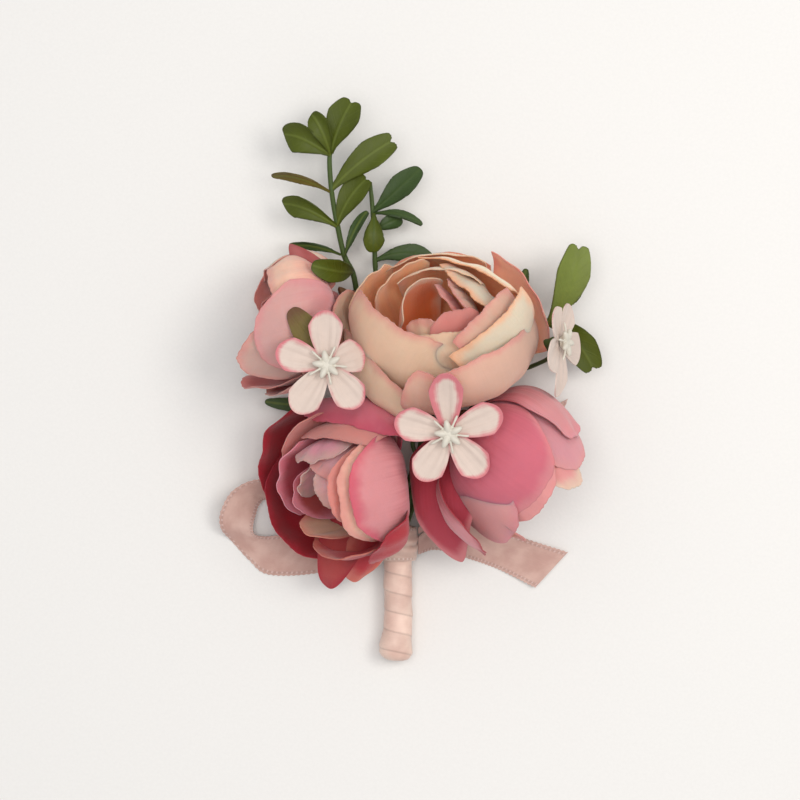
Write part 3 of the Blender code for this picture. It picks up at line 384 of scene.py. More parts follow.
def petal_cloth(name, band, blush, line):
    """Dyed cloth: band is how wide the dyed rim is, blush how strong, and line how dark its very edge. A wide
    band also leaves the middle of a petal paler, a painted highlight.
    """
    recipe = Recipe(name)
    edge, share, fan, across, along, number = recipe.carried()
    seed = number * 17.0
    flat = recipe.joined(across + seed, along, seed)
    cloud = recipe.noise(flat, 7.0)
    grain = recipe.noise(flat, 0.8)
    streak = recipe.noise(recipe.joined(fan * 2.2 + seed, share * 1.2, seed), 1.0)
    body, rim, root = recipe.painted("body"), recipe.painted("rim"), recipe.painted("root")
    # Deeper rim and paler middle: partly the dye of the rim, partly a painted highlight in the middle of the
    # petal.
    rim_dye_and_highlight = (1 - recipe.rise(edge + (cloud - 0.5) * band * 1.3, 0.0, band)) * blush
    tint = recipe.mix(body, rim, rim_dye_and_highlight)
    tint = recipe.mix(tint, recipe.lit(rim, 0.62), (1 - recipe.rise(edge, 0.05, 0.42)) * line)
    near_root = (1 - recipe.rise(share + (streak - 0.5) * 0.25, 0.22, 0.72)) * 0.85
    tint = recipe.mix(tint, root, near_root)
    tint = recipe.lit(tint, 0.86 + cloud * 0.16 + streak * 0.06 + grain * 0.06)
    pitch = TURN / mm(settings("corsage_petals").weave)
    weave = (across * pitch).sine() * (along * pitch).sine()
    height = weave * 0.010 + grain * 0.03 + streak * 0.05 + cloud * 0.12
    return recipe.finish(tint, 0.66 + grain * 0.2, height, Sheen_Weight=0.2, Sheen_Roughness=0.5,
                         Specular_IOR_Level=0.25, Subsurface_Weight=0.5, Subsurface_Radius=(1.0, 0.45, 0.32),
                         Subsurface_Scale=1.4 * MM)


def blossom_cloth(name):
    recipe = Recipe(name)
    edge, share, fan, across, along, number = recipe.carried()
    flat = recipe.joined(across + number * 17.0, along, number)
    cloud = recipe.noise(flat, 3.0)
    grain = recipe.noise(flat, 0.6)
    streak = recipe.noise(recipe.joined(fan * 1.6 + number * 9.0, share * 1.5, number), 1.0)
    body, rim = recipe.painted("body"), recipe.painted("rim")
    wide = recipe.parts(recipe.painted("root"))[0]
    worn = edge + (cloud - 0.5) * 1.6 + (streak - 0.5) * 1.2 + recipe.rise(0.95 - share, 0.0, 0.6) * 0.8
    tint = recipe.mix(body, rim, 1 - recipe.rise(worn - wide, -0.9, 0.7))
    tint = recipe.lit(tint, 0.84 + cloud * 0.16 + streak * 0.10 + grain * 0.06)
    height = grain * 0.03 + streak * 0.08
    return recipe.finish(tint, 0.6 + grain * 0.2, height, Sheen_Weight=0.2, Specular_IOR_Level=0.3)


def moulded_white(name, tint):
    """Soft white plastic of the stamens, a little darker where it is worn."""
    recipe = Recipe(name)
    place = recipe.node("ShaderNodeTexCoord", {}, {}, "Object")
    cloud = recipe.noise(place, 0.0016)
    grain = recipe.noise(place, 0.0003, 2.0)
    shade = recipe.lit((*tint,), 0.86 + cloud * 0.22)
    return recipe.finish(shade, 0.38 + grain * 0.16, grain * 0.03 + cloud * 0.05, Specular_IOR_Level=0.45)


def leaf_plastic(name, vein_tint):
    """Moulded leaves, lighter along the midrib and the veins."""
    recipe = Recipe(name)
    edge, _, _, across, along, number = recipe.carried()
    flat = recipe.joined(across + number * 13.0, along, number)
    cloud = recipe.noise(flat, 4.0)
    grain = recipe.noise(flat, 0.35)
    body = recipe.painted("body")
    rib = 1 - recipe.rise(abs(across), 0.10, 0.42)
    slope = (along - abs(across) * VEIN_SLANT) * (TURN / VEIN_STEP) + (cloud - 0.5) * 1.4
    vein = recipe.rise(slope.sine(), 0.90, 1.0) * recipe.rise(abs(across), 0.1, 0.4)
    cells = recipe.noise(flat, 0.9, 1.0)
    tint = recipe.mix(body, (*vein_tint, 1.0), rib * 0.40 + vein * 0.10)
    tint = recipe.mix(tint, recipe.lit(body, 0.55), (1 - recipe.rise(edge, 0.0, 0.5)) * 0.5)
    tint = recipe.lit(tint, 0.70 + cloud * 0.45 + cells * 0.14)
    height = vein * 0.03 + grain * 0.03 + cells * 0.05
    return recipe.finish(tint, 0.45 + cells * 0.2, height, Specular_IOR_Level=0.3)


def stem_plastic(name, tip_tint):
    """Moulded stems with fine lengthwise lines, turning brown towards the blooms."""
    recipe = Recipe(name)
    _, share, _, across, along, number = recipe.carried()
    lines = recipe.noise(recipe.joined(across * 2.4, along * 0.12, number), 0.5)
    cloud = recipe.noise(recipe.joined(across, along, number * 3.0), 3.5, 2.0)
    grain = recipe.noise(recipe.joined(across, along, number), 0.3, 2.0)
    body = recipe.painted("body")
    tint = recipe.mix(body, (*tip_tint, 1.0), recipe.rise(share + (cloud - 0.5) * 0.4, 0.72, 0.98))
    tint = recipe.lit(tint, 0.65 + lines * 0.4 + cloud * 0.3)
    return recipe.finish(tint, 0.45 + grain * 0.25, lines * 0.10 + grain * 0.03, Specular_IOR_Level=0.4)


def satin(name, ribbon):
    """Woven satin with a stitched row along both edges."""
    recipe = Recipe(name)
    edge, along, across = recipe.parts(recipe.painted("place"))
    flat = recipe.joined(across, along, 0.0)
    cloud = recipe.noise(flat, 6.0)
    threads = recipe.noise(recipe.joined(across * 6.0, along * 0.5, 3.0), 1.0, 2.0)
    rows = (along * (TURN / WEFT_STEP)).sine()
    stitch = recipe.rise((along * (TURN / mm(ribbon.stitch))).sine(), -0.1, 0.7)
    stripe = recipe.rise(edge, 0.28, 0.5) * (1 - recipe.rise(edge, 0.85, 1.1))
    dots = stripe * stitch
    plain, pale, white = ((*dyed(ribbon, name), 1.0) for name in ("satin", "pale_satin", "stitch_white"))
    shadow = (*(dyed(ribbon, "satin") * 0.72), 1.0)
    # Cloudy paler patches: partly the satin's uneven tone, partly painted sheen.
    tint = recipe.mix(plain, pale, recipe.rise(cloud, 0.3, 0.75) * 0.6)
    tint = recipe.lit(tint, 0.90 + threads * 0.14 + rows * 0.02)
    tint = recipe.mix(tint, shadow, stripe * (1 - stitch) * 0.45)
    tint = recipe.mix(tint, white, dots * 0.75)
    # The handle and the knot carry their painted light and shade in their body values.
    tint = recipe.shaded(tint, recipe.painted("body"))
    height = rows * 0.012 + threads * 0.03 + dots * 0.10
    return recipe.finish(tint, 0.34 + threads * 0.14 + dots * 0.2, height, Sheen_Weight=0.15,
                         Specular_IOR_Level=0.5, Anisotropic=0.35)


def floor_paper(name, tint):
    recipe = Recipe(name)
    place = recipe.node("ShaderNodeTexCoord", {}, {}, "Object")
    grain = recipe.noise(place, 0.0008)
    return recipe.finish(recipe.lit((*tint,), 0.97 + grain * 0.06), 0.85, grain * 0.02, Specular_IOR_Level=0.2)


# Small vector helpers

def unit(vector):
    vector = np.asarray(vector, dtype=float)
    return vector / np.linalg.norm(vector)


def frame_from(axis, zero):
    """Axis, the direction of turn 0 and the direction of turn 90, all square to each other."""
    axis = unit(axis)
    zero = np.asarray(zero, dtype=float)
    first = unit(zero - axis * zero.dot(axis))
    return axis, first, np.cross(axis, first)


def bezier(points, share):
    """Cubic curve through four control points, read at an array of shares."""
    share = np.asarray(share)[..., None]
    back = 1.0 - share
    first, second, third, last = (np.asarray(p, dtype=float) for p in points)
    return (back ** 3 * first + 3 * back ** 2 * share * second
            + 3 * back * share ** 2 * third + share ** 3 * last)


def smooth_route(points, steps):
    """Points along a smooth curve through the given ones, steps to each stretch."""
    points = [np.asarray(p, dtype=float) for p in points]
    ends = [2 * points[0] - points[1]] + points + [2 * points[-1] - points[-2]]
    route = []
    for i in range(1, len(ends) - 2):
        before, here, there, after = ends[i - 1], ends[i], ends[i + 1], ends[i + 2]
        for step in range(steps):
            t = step / steps
            route.append(0.5 * (2 * here + (there - before) * t
                                + (2 * before - 5 * here + 4 * there - after) * t ** 2
                                + (3 * here - before - 3 * there + after) * t ** 3))
    route.append(points[-1])
    return np.array(route)


# Rooms: each bloom keeps to its own side of the planes between it and its neighbours

def press(points, planes, margin):
    """Moves points that would cross a plane back to its near side, keeping their order."""
    points = points.copy()
    for place, normal in planes:
        normal = unit(normal)
        beyond = (points - np.asarray(place, dtype=float)).dot(normal) + margin
        inside = -PRESS_DEPTH * np.exp(-(beyond + PRESS_DEPTH) / PRESS_DEPTH)
        moved = np.where(beyond > -PRESS_DEPTH, inside, beyond)
        points += (moved - beyond)[..., None] * normal
    return points


def settle(points, level):
    """Keeps the middle of a sheet half its thickness above the level that it rests on."""
    points = points.copy()
    points[..., 2] = np.maximum(points[..., 2], level + SHEET / 2)
    return points


PEACH_OVER_CRIMSON = ((0.0, 48.4, 20.0), (-0.12, -0.90, -0.42))
CRIMSON_UNDER_PEACH = ((4.0, 48.4, 20.0), (-0.32, -0.85, -0.42))
PEACH_OVER_ROSE = ((26.0, 54.0, 22.0), (0.40, -0.80, -0.45))
PEACH_OVER_BLUSH = ((-14.5, 72.0, 20.0), (-0.80, 0.35, -0.48))
BLUSH_BY_CRIMSON = ((-24.0, 51.3, 15.0), (0.15, -0.98, -0.10))
CRIMSON_BY_ROSE = ((3.1, 27.0, 20.0), (0.99, 0.10, 0.0))


def far_side(plane):
    place, normal = plane
    return place, tuple(-n for n in normal)


def above(level):
    return (0.0, 0.0, level), (0.0, 0.0, -1.0)


# Blooms: base point, direction of the opening, direction of turn 0, and the planes of its room

PEACH = dict(name="peach_bloom", base=(12.3, 59.2, 11.0), axis=(-0.12, 0.62, 0.78), zero=(1, 0, 0), rest=None,
             room=(PEACH_OVER_CRIMSON, PEACH_OVER_ROSE, PEACH_OVER_BLUSH, above(7.0)))
BLUSH = dict(name="blush_bloom", base=(-15.0, 75.5, 15.5), axis=(-0.93, -0.36, 0.06), zero=(0, 0, 1),
             rest=-0.33,
             room=(far_side(PEACH_OVER_BLUSH), BLUSH_BY_CRIMSON, ((-19.0, 60.0, 15.0), (0.75, -0.66, 0.0)),
                   above(-1.2)))
CRIMSON = dict(name="crimson_bloom", base=(-2.4, 31.2, 13.0), axis=(-0.75, -0.20, 0.63), zero=(0, 0, 1),
               rest=None,
               room=(far_side(CRIMSON_UNDER_PEACH), far_side(BLUSH_BY_CRIMSON), CRIMSON_BY_ROSE,
                     ((-5.0, 30.0, 9.5), (0.6, 0.0, -0.8)), above(5.2)))
ROSE = dict(name="rose_bloom", base=(17.0, 44.3, 16.0), axis=(0.78, -0.60, 0.15), zero=(0, 0, 1), rest=None,
            room=(far_side(PEACH_OVER_ROSE), far_side(CRIMSON_BY_ROSE), ((11.0, 30.0, 8.0), (-0.6, 0.0, -0.8)),
                  ((0.0, 57.0, 0.0), (0.0, 1.0, 0.0)), above(1.6)))


def petal(turn, rim, height, width, belly, root=1.0, round_off=0.35, point=0.0, spiral=0.0, slant=0.0, lean=0.0,
          curl=0.0, edge=0.0, ripple=0.0, wrap=1.0, shoulder=0.62, fine=True):
    """One petal of a bloom. The turn is in degrees round the bloom's axis, and lengths are in millimetres.

    rim and height place the middle of its free edge, belly is how far out the petal swings on the way there,
    and root is the height that it starts from. spiral and slant shift one side out and up against the other,
    lean shifts the free edge sideways, curl turns the rim out, edge turns both sides out, and round_off and
    point cut back the corners. shoulder is the share of the height where the petal turns in, a higher wrap
    bends it less across, and a fine petal has more cells.
    """
    return dict(turn=turn, rim=rim, height=height, width=width, belly=belly, root=root, round_off=round_off,
                point=point, spiral=spiral, slant=slant, lean=lean, curl=curl, edge=edge, ripple=ripple,
                wrap=wrap, shoulder=shoulder, fine=fine)


def heart_petals(*places):
    """Small petals, all alike, deep in a bloom: turn, rim and height of each."""
    return [petal(turn, rim, height, 7.0, 9.5, 2.4, fine=False) for turn, rim, height in places]


PEACH_PETALS = [
    petal(218, 19.5, 16.0, 19.0, 27.6, 0.6, slant=-4.0, round_off=0.25, edge=1.0),
    petal(316, 21.0, 22.8, 19.0, 27.0, 0.8, slant=-5.5, round_off=0.15),
    petal(24, 25.2, 15.5, 14.0, 27.5, 0.9, spiral=-1.5, slant=5.5, round_off=0.08, point=1.0),
    petal(98, 24.3, 15.5, 17.0, 26.8, 1.0, spiral=1.0, round_off=0.15),
    petal(166, 26.0, 24.0, 8.0, 28.5, 0.8, round_off=0.35, curl=1.0),
    petal(217, 11.8, 25.5, 17.0, 23.5, 1.6, spiral=-7.0, slant=-6.0, round_off=0.10, ripple=0.2),
    petal(260, 20.5, 23.0, 6.5, 27.0, 0.9, fine=False),
    petal(-24, 12.6, 26.2, 10.5, 21.6, 1.8, spiral=3.5, slant=0.8, round_off=0.10, shoulder=0.75),
    petal(-29, 16.6, 24.8, 13.0, 24.6, 1.4, spiral=4.4, slant=2.2, round_off=0.06, shoulder=0.75),
    petal(38, 7.2, 24.4, 9.5, 19.0, 2.2, slant=0.5, round_off=0.08, wrap=3.0, shoulder=0.92),
    petal(54, 13.2, 24.4, 14.0, 22.0, 1.8, spiral=-1.5, round_off=0.10, wrap=1.6, shoulder=0.88),
    petal(130, 13.5, 25.5, 9.5, 19.0, 2.0, round_off=0.20, ripple=0.3, shoulder=0.85),
    petal(150, 18.5, 25.5, 8.5, 23.6, 1.4, spiral=2.0, round_off=0.20, shoulder=0.8),
    petal(140, 7.4, 25.6, 9.5, 12.0, 2.6, ripple=0.3, round_off=0.12, fine=False),
    petal(262, 3.6, 22.6, 5.2, 9.5, 2.6, lean=-2.8, wrap=3.0, round_off=0.10, fine=False),
    petal(22, 1.4, 25.0, 5.2, 10.0, 2.6, lean=3.2, wrap=3.0, round_off=0.15, fine=False),
    petal(-80, 3.4, 24.5, 6.6, 11.0, 2.4, lean=5.0, wrap=3.0, round_off=0.12, fine=False),
    petal(297, 9.4, 22.6, 11.0, 19.4, 1.8, spiral=4.0, round_off=0.10, shoulder=0.8),
    petal(24, 4.6, 24.6, 6.5, 13.0, 2.4, lean=1.0, wrap=3.0, round_off=0.12, shoulder=0.8, fine=False),
    petal(84, 10.2, 24.6, 12.5, 18.0, 2.2, round_off=0.12, shoulder=0.9),
    petal(92, 17.4, 22.2, 14.0, 24.4, 1.6, round_off=0.12, shoulder=0.85),
]
BLUSH_PETALS = [
    petal(-13, 12.5, 23.8, 12.8, 19.5, 1.2, slant=-2.5, round_off=0.40, curl=0.5),
    petal(-32, 9.0, 30.0, 11.5, 17.6, 1.6, slant=-3.0, round_off=0.25, point=5.0),
    petal(46, 12.8, 15.5, 9.5, 16.8, 1.2, slant=-1.0, round_off=0.15),
    petal(122, 13.0, 15.8, 12.0, 18.0, 1.6, spiral=1.5, ripple=0.5, round_off=0.2),
    petal(-112, 15.6, 25.5, 13.0, 20.4, 1.2, spiral=-1.0, slant=3.5, ripple=0.5, round_off=0.25),
    petal(-100, 11.5, 21.5, 12.0, 14.5, 1.8, spiral=1.0, ripple=0.4, round_off=0.2),
    petal(-112, 11.0, 31.0, 12.0, 18.6, 1.0, slant=2.0, round_off=0.25, point=4.0, ripple=0.5),
    petal(158, 11.0, 20.0, 13.0, 17.5, 1.3, round_off=0.3, spiral=1.0),
    petal(-58, 16.0, 15.0, 12.0, 19.0, 1.0, round_off=0.3),
    *heart_petals((10, 5.0, 20.0), (130, 5.5, 19.0), (-120, 5.0, 20.5)),
]
CRIMSON_PETALS = [
    petal(-14, 14.2, 24.8, 17.0, 20.5, 1.0, round_off=0.50, slant=1.0),
    petal(-15, 11.5, 26.5, 16.5, 18.5, 1.4, round_off=0.45),
    petal(-8, 9.0, 27.5, 12.0, 16.0, 1.8, round_off=0.35),
    petal(70, 15.5, 13.6, 16.5, 25.0, 0.8, slant=2.5, round_off=0.12, wrap=2.0),
    petal(76, 13.0, 18.5, 13.5, 18.5, 1.4, slant=1.0, round_off=0.12, wrap=1.8),
    petal(56, 5.5, 24.2, 8.0, 13.5, 2.2, round_off=0.2, fine=False),
    petal(94, 8.0, 24.0, 9.5, 15.5, 2.2, spiral=2.0, wrap=2.0, ripple=0.4, round_off=0.2, fine=False),
    petal(10, 2.5, 26.0, 7.5, 10.0, 2.6, wrap=3.0, round_off=0.2, fine=False),
    petal(178, 8.0, 25.0, 8.5, 12.0, 2.4, ripple=0.6, fine=False),
    petal(152, 23.2, 23.5, 16.0, 26.0, 0.9, round_off=0.25, ripple=0.6),
    petal(-172, 20.8, 24.5, 15.0, 25.0, 0.7, round_off=0.25, ripple=0.5),
    petal(-130, 10.5, 25.5, 7.5, 13.5, 2.2, fine=False),
    petal(-106, 16.5, 22.0, 12.0, 20.0, 1.0, round_off=0.2),
    petal(128, 18.0, 21.0, 10.5, 21.0, 1.2, round_off=0.25),
    petal(-62, 19.0, 17.5, 11.0, 22.0, 0.8, round_off=0.3),
    petal(140, 4.6, 25.6, 6.0, 10.5, 2.6, wrap=2.0, round_off=0.2, fine=False),
    petal(158, 13.5, 25.2, 10.5, 18.0, 1.8, ripple=0.4, round_off=0.2, fine=False),
]
ROSE_PETALS = [
    petal(14, 12.9, 27.6, 18.5, 20.0, 1.0, round_off=0.50, slant=-0.5),
    petal(-58, 10.3, 30.5, 12.5, 19.2, 1.0, round_off=0.35, spiral=-1.5, point=1.0),
    petal(-69, 14.8, 25.5, 9.5, 21.2, 0.8, round_off=0.40, ripple=0.4),
    petal(-30, 9.0, 33.8, 8.0, 15.0, 1.6, point=2.0),
    petal(20, 11.8, 30.0, 16.0, 18.0, 1.4, round_off=0.45),
    petal(68, 15.8, 27.8, 15.5, 19.8, 1.2, spiral=4.6, round_off=0.50),
    petal(78, 14.2, 31.0, 7.0, 18.4, 1.4, round_off=0.4, point=2.0),
    petal(85, 22.9, 25.0, 11.0, 25.2, 0.8, ripple=0.3, round_off=0.25),
    petal(-130, 13.0, 24.0, 14.0, 17.5, 1.2, round_off=0.3),
    petal(165, 12.5, 25.0, 14.0, 17.5, 1.0, round_off=0.3),
    *heart_petals((-30, 5.0, 21.0), (90, 5.5, 20.0), (210, 5.0, 20.5)),
    petal(20, 3.0, 26.0, 6.5, 10.5, 2.6, ripple=0.4, fine=False),
    petal(140, 3.5, 25.5, 6.5, 10.5, 2.6, fine=False),
    petal(258, 3.2, 25.0, 6.5, 10.5, 2.6, fine=False),
    petal(-12, 7.5, 26.5, 9.0, 14.0, 2.4, ripple=0.4, fine=False),
    petal(108, 8.0, 25.5, 9.0, 14.5, 2.4, ripple=0.4, fine=False),
    petal(232, 8.0, 24.5, 9.0, 14.5, 2.4, ripple=0.4, fine=False),
]
BLUSH_LOOSE = [
    dict(route=((-18.0, 77.0, 17.5), (-22.0, 82.0, 22.0), (-25.0, 86.2, 22.0), (-27.4, 89.4, 18.0)), width=4.8,
         facing=(-0.35, 0.1, 0.9), cup=-0.8, tip=0.7, widest=0.45, power=1.3),
    dict(route=((-16.5, 78.5, 18.0), (-18.5, 82.5, 21.0), (-22.0, 86.0, 21.0), (-25.0, 87.6, 17.5)), width=4.2,
         facing=(0.35, 0.3, 0.85), cup=-0.8, tip=0.65, widest=0.5),
]
CRIMSON_LOOSE = [
    dict(route=((-7.5, 28.0, 13.5), (-13.0, 20.0, 18.0), (-16.5, 9.0, 17.0), (-18.0, 1.8, 9.0)), width=6.5,
         facing=(-0.25, -0.35, 0.9), cup=-2.0, tip=0.55, widest=0.55),
    dict(route=((-4.0, 29.0, 14.0), (-3.0, 20.0, 18.0), (-7.0, 11.0, 17.0), (-12.0, 3.6, 10.0)), width=6.0,
         facing=(0.3, -0.4, 0.85), cup=-1.5, tip=0.35, widest=0.5),
]
ROSE_LOOSE = [
    dict(route=((15.0, 41.0, 18.5), (9.5, 36.0, 27.0), (8.5, 20.0, 26.0), (16.4, 8.8, 13.0)), width=11.0,
         facing=(-0.30, -0.15, 0.92), cup=-2.0, tip=0.55, widest=0.5, power=1.5),
]


# Outside, inside, rim and root of each petal, in the order of the tables above. The three light colours among
# them are painted light that brightens faces in shade.

PEACH_TINTS = [
    "cream cream pink_edge apricot", "pink_cream cream pink_edge apricot",
    "light_rose light_rose salmon light_peach", "light_cream light_peach pink_edge peach",
    "beige beige pink_edge apricot", "cream peach pink_edge peach", "pink_cream salmon pink_edge brick",
    "pink_cream ivory pink_edge orange", "ivory ivory peach apricot", "ivory light_cream apricot orange",
    "light_cream light_peach apricot peach", "light_peach light_peach cream apricot",
    "light_peach light_peach cream apricot", "orange ember ivory ember", "cream orange pink_edge ember",
    "salmon orange pink_edge brick", "salmon salmon pink_edge brick", "cream cream cream apricot",
    "pink_cream cream salmon apricot", "light_cream light_peach cream apricot",
    "light_cream light_peach cream apricot",
]
BLUSH_TINTS = [
    "blush blush raspberry raspberry", "pale_blush pale_blush pink_edge blush",
    "light_rose ivory pink_edge salmon", "ivory brown_rose pink_edge brown_rose",
    "salmon dark_rose pale_blush dark_rose", "blush dark_rose pale_blush dark_rose",
    "pale_blush tip_rose pink_edge tip_rose", "blush blush pink_edge brown_rose",
    "salmon brown_rose pale_blush brown_rose", *["brown_rose dark_rose pink_edge dark_rose"] * 3,
    "tip_rose tip_rose dark_rose tip_rose", "ivory pale_blush pink_edge tip_rose",
]
CRIMSON_TINTS = [
    "raspberry coral hot_pink wine", "light_rose salmon pink_edge crimson", "coral coral pink_edge crimson",
    "rose rose hot_pink hot_pink", "salmon salmon pink_edge muted_red",
    "pale_mauve pale_mauve pink_edge wine", "mauve pale_mauve pale_blush wine",
    "pale_mauve pale_mauve pale_blush crimson", "wine muted_red mauve wine",
    "crimson deep_red crimson deep_red", "crimson deep_red crimson deep_red", "straw straw coral crimson",
    "bright_red bright_red coral deep_red", "coral salmon pink_edge crimson",
    "bright_red bright_red crimson deep_red", "mauve pale_mauve pale_blush wine",
    "mauve wine mauve crimson", "muted_red muted_red crimson bright_red",
    "bright_red bright_red coral bright_red",
]
ROSE_TINTS = [
    "rose rose raspberry dark_pink", "band_pink band_pink pale_rose rose",
    "raspberry dark_pink band_pink crimson", "pale_rose pale_rose ivory dark_pink",
    "pale_rose pale_rose pale_rose dark_pink", "pale_rose pale_rose band_pink raspberry",
    "rust rust pale_rose dark_pink", "band_pink dark_pink crimson crimson", "wine wine crimson crimson",
    "wine wine crimson crimson", *["dark_pink crimson hot_pink crimson"] * 3,
    *["dark_pink wine raspberry crimson"] * 6, "wine wine raspberry crimson",
]

# Each bloom with its petals, and how wide, how strong and how dark at the edge its dyed rim is. A wide rim also
# leaves a painted highlight: the paler middle of each petal.
BLOOMS = (
    ("peach", PEACH, PEACH_PETALS, (), PEACH_TINTS, (3.0, 0.7, 0.35)),
    ("blush", BLUSH, BLUSH_PETALS, BLUSH_LOOSE, BLUSH_TINTS, (3.2, 0.6, 0.4)),
    ("crimson", CRIMSON, CRIMSON_PETALS, CRIMSON_LOOSE, CRIMSON_TINTS, (5.0, 0.8, 0.3)),
    ("rose", ROSE, ROSE_PETALS, ROSE_LOOSE, ROSE_TINTS, (4.0, 0.7, 0.35)),
)


# Stems

def slot(degrees):
    """Where one stem of the outer ring sits across the handle, as X and height above the handle's axis."""
    angle = math.radians(degrees)
    return STEM_RING * math.cos(angle), STEM_RING * math.sin(angle)


def handle_axis(y):
    """Height of the handle's axis, which lifts a little towards the knot."""
    share = np.clip((y - HANDLE_RISE_START) / (HANDLE_RISE_END - HANDLE_RISE_START), 0.0, 1.0)
    return HANDLE_AXIS_LOW + (HANDLE_AXIS_HIGH - HANDLE_AXIS_LOW) * share * share * (3 - 2 * share)


def handle_stretch(place):
    """The points of a stem inside the handle, from its cut end to the handle's top."""
    x, z = place
    return [(x, y, z + handle_axis(y)) for y in (STEM_START, 2.0, 6.0, 12.0, HANDLE_TOP)]


def under_bloom(bloom, depth):
    return tuple(np.asarray(bloom["base"]) - unit(bloom["axis"]) * depth)


BLOOM_STEMS = [
    (PEACH, (STEM_PAIR, 0.0), ((3.0, 30.0, 4.6), (7.5, 43.0, 4.8), (11.6, 52.0, 4.6))),
    (BLUSH, (-STEM_PAIR, 0.0), ((-2.6, 35.0, 3.9), (-5.2, 55.0, 4.0), (-6.3, 68.0, 4.8), (-7.8, 75.5, 8.8))),
    (CRIMSON, slot(135), ((-0.6, 24.0, 7.6), (1.7, 30.0, 8.3))),
    (ROSE, slot(45), ((3.2, 26.0, 6.8), (5.2, 36.0, 8.6), (7.4, 46.0, 11.6))),
]


# Small blossoms: how wide the pink edge of each petal is, and the blossoms themselves

BLOSSOM_BLUSH = {"left_blossom": (0.8, 1.2, 0.4, 0.9, 0.7), "centre_blossom": (2.2, 1.2, 0.8, 1.2, 1.4),
                 "right_blossom": (-0.6, -0.4, -0.2, -0.2, -0.4)}

LEFT_BLOSSOM = dict(name="left_blossom", centre=(-17.5, 58.6, 34.4), axis=(0.03, 0.02, 1.0), zero=(0, 1, 0),
                    lengths=(13.4, 13.0, 14.0, 13.0, 9.5), lifts=(2.0, 1.0, 0.0, 0.0, -5.5), start=2.0)
CENTRE_BLOSSOM = dict(name="centre_blossom", centre=(12.4, 42.0, 38.4), axis=(0.0, -0.16, 0.98), zero=(0, 1, 0),
                      lengths=(15.5, 13.6, 13.6, 13.6, 14.0), lifts=(4.5, 0.8, 0.6, 0.8, 0.8), start=4.0)
RIGHT_BLOSSOM = dict(name="right_blossom", centre=(40.3, 64.5, 24.0), axis=(0.92, 0.0, 0.40), zero=(0, -1, 0),
                     lengths=(13.8, 12.5, 10.5, 10.5, 12.5), lifts=(-1.5, 1.0, 1.0, 1.0, 1.0), start=8.0)
BLOSSOMS = (LEFT_BLOSSOM, CENTRE_BLOSSOM, RIGHT_BLOSSOM)
BLOSSOM_STEMS = [
    (LEFT_BLOSSOM, slot(180), ((-4.6, 28.0, 4.3), (-8.6, 41.0, 4.2), (-12.6, 53.0, 7.4), (-16.4, 57.8, 16.0))),
    (CENTRE_BLOSSOM, slot(90), ((1.6, 26.0, 9.0), (4.8, 34.0, 12.4), (4.0, 40.0, 20.0))),
    (RIGHT_BLOSSOM, slot(0), ((7.0, 30.0, 4.2), (16.0, 44.0, 4.0), (26.0, 55.5, 4.6), (34.0, 58.5, 7.0),
                              (38.4, 61.0, 18.0))),
]


# Greenery

def leaf(start, first, second, end, width, facing=(0, 0, 1), cup=0.8, notch=0.0, tip=0.3, widest=0.7,
         stalk=0.16):
    """One leaf: four points of its rib, half its width, and which way it faces."""
    return dict(route=(start, first, second, end), width=width * LEAF_WIDTH, facing=facing, cup=cup,
                notch=notch, tip=tip, widest=widest + LEAF_WIDEST, root_share=stalk)


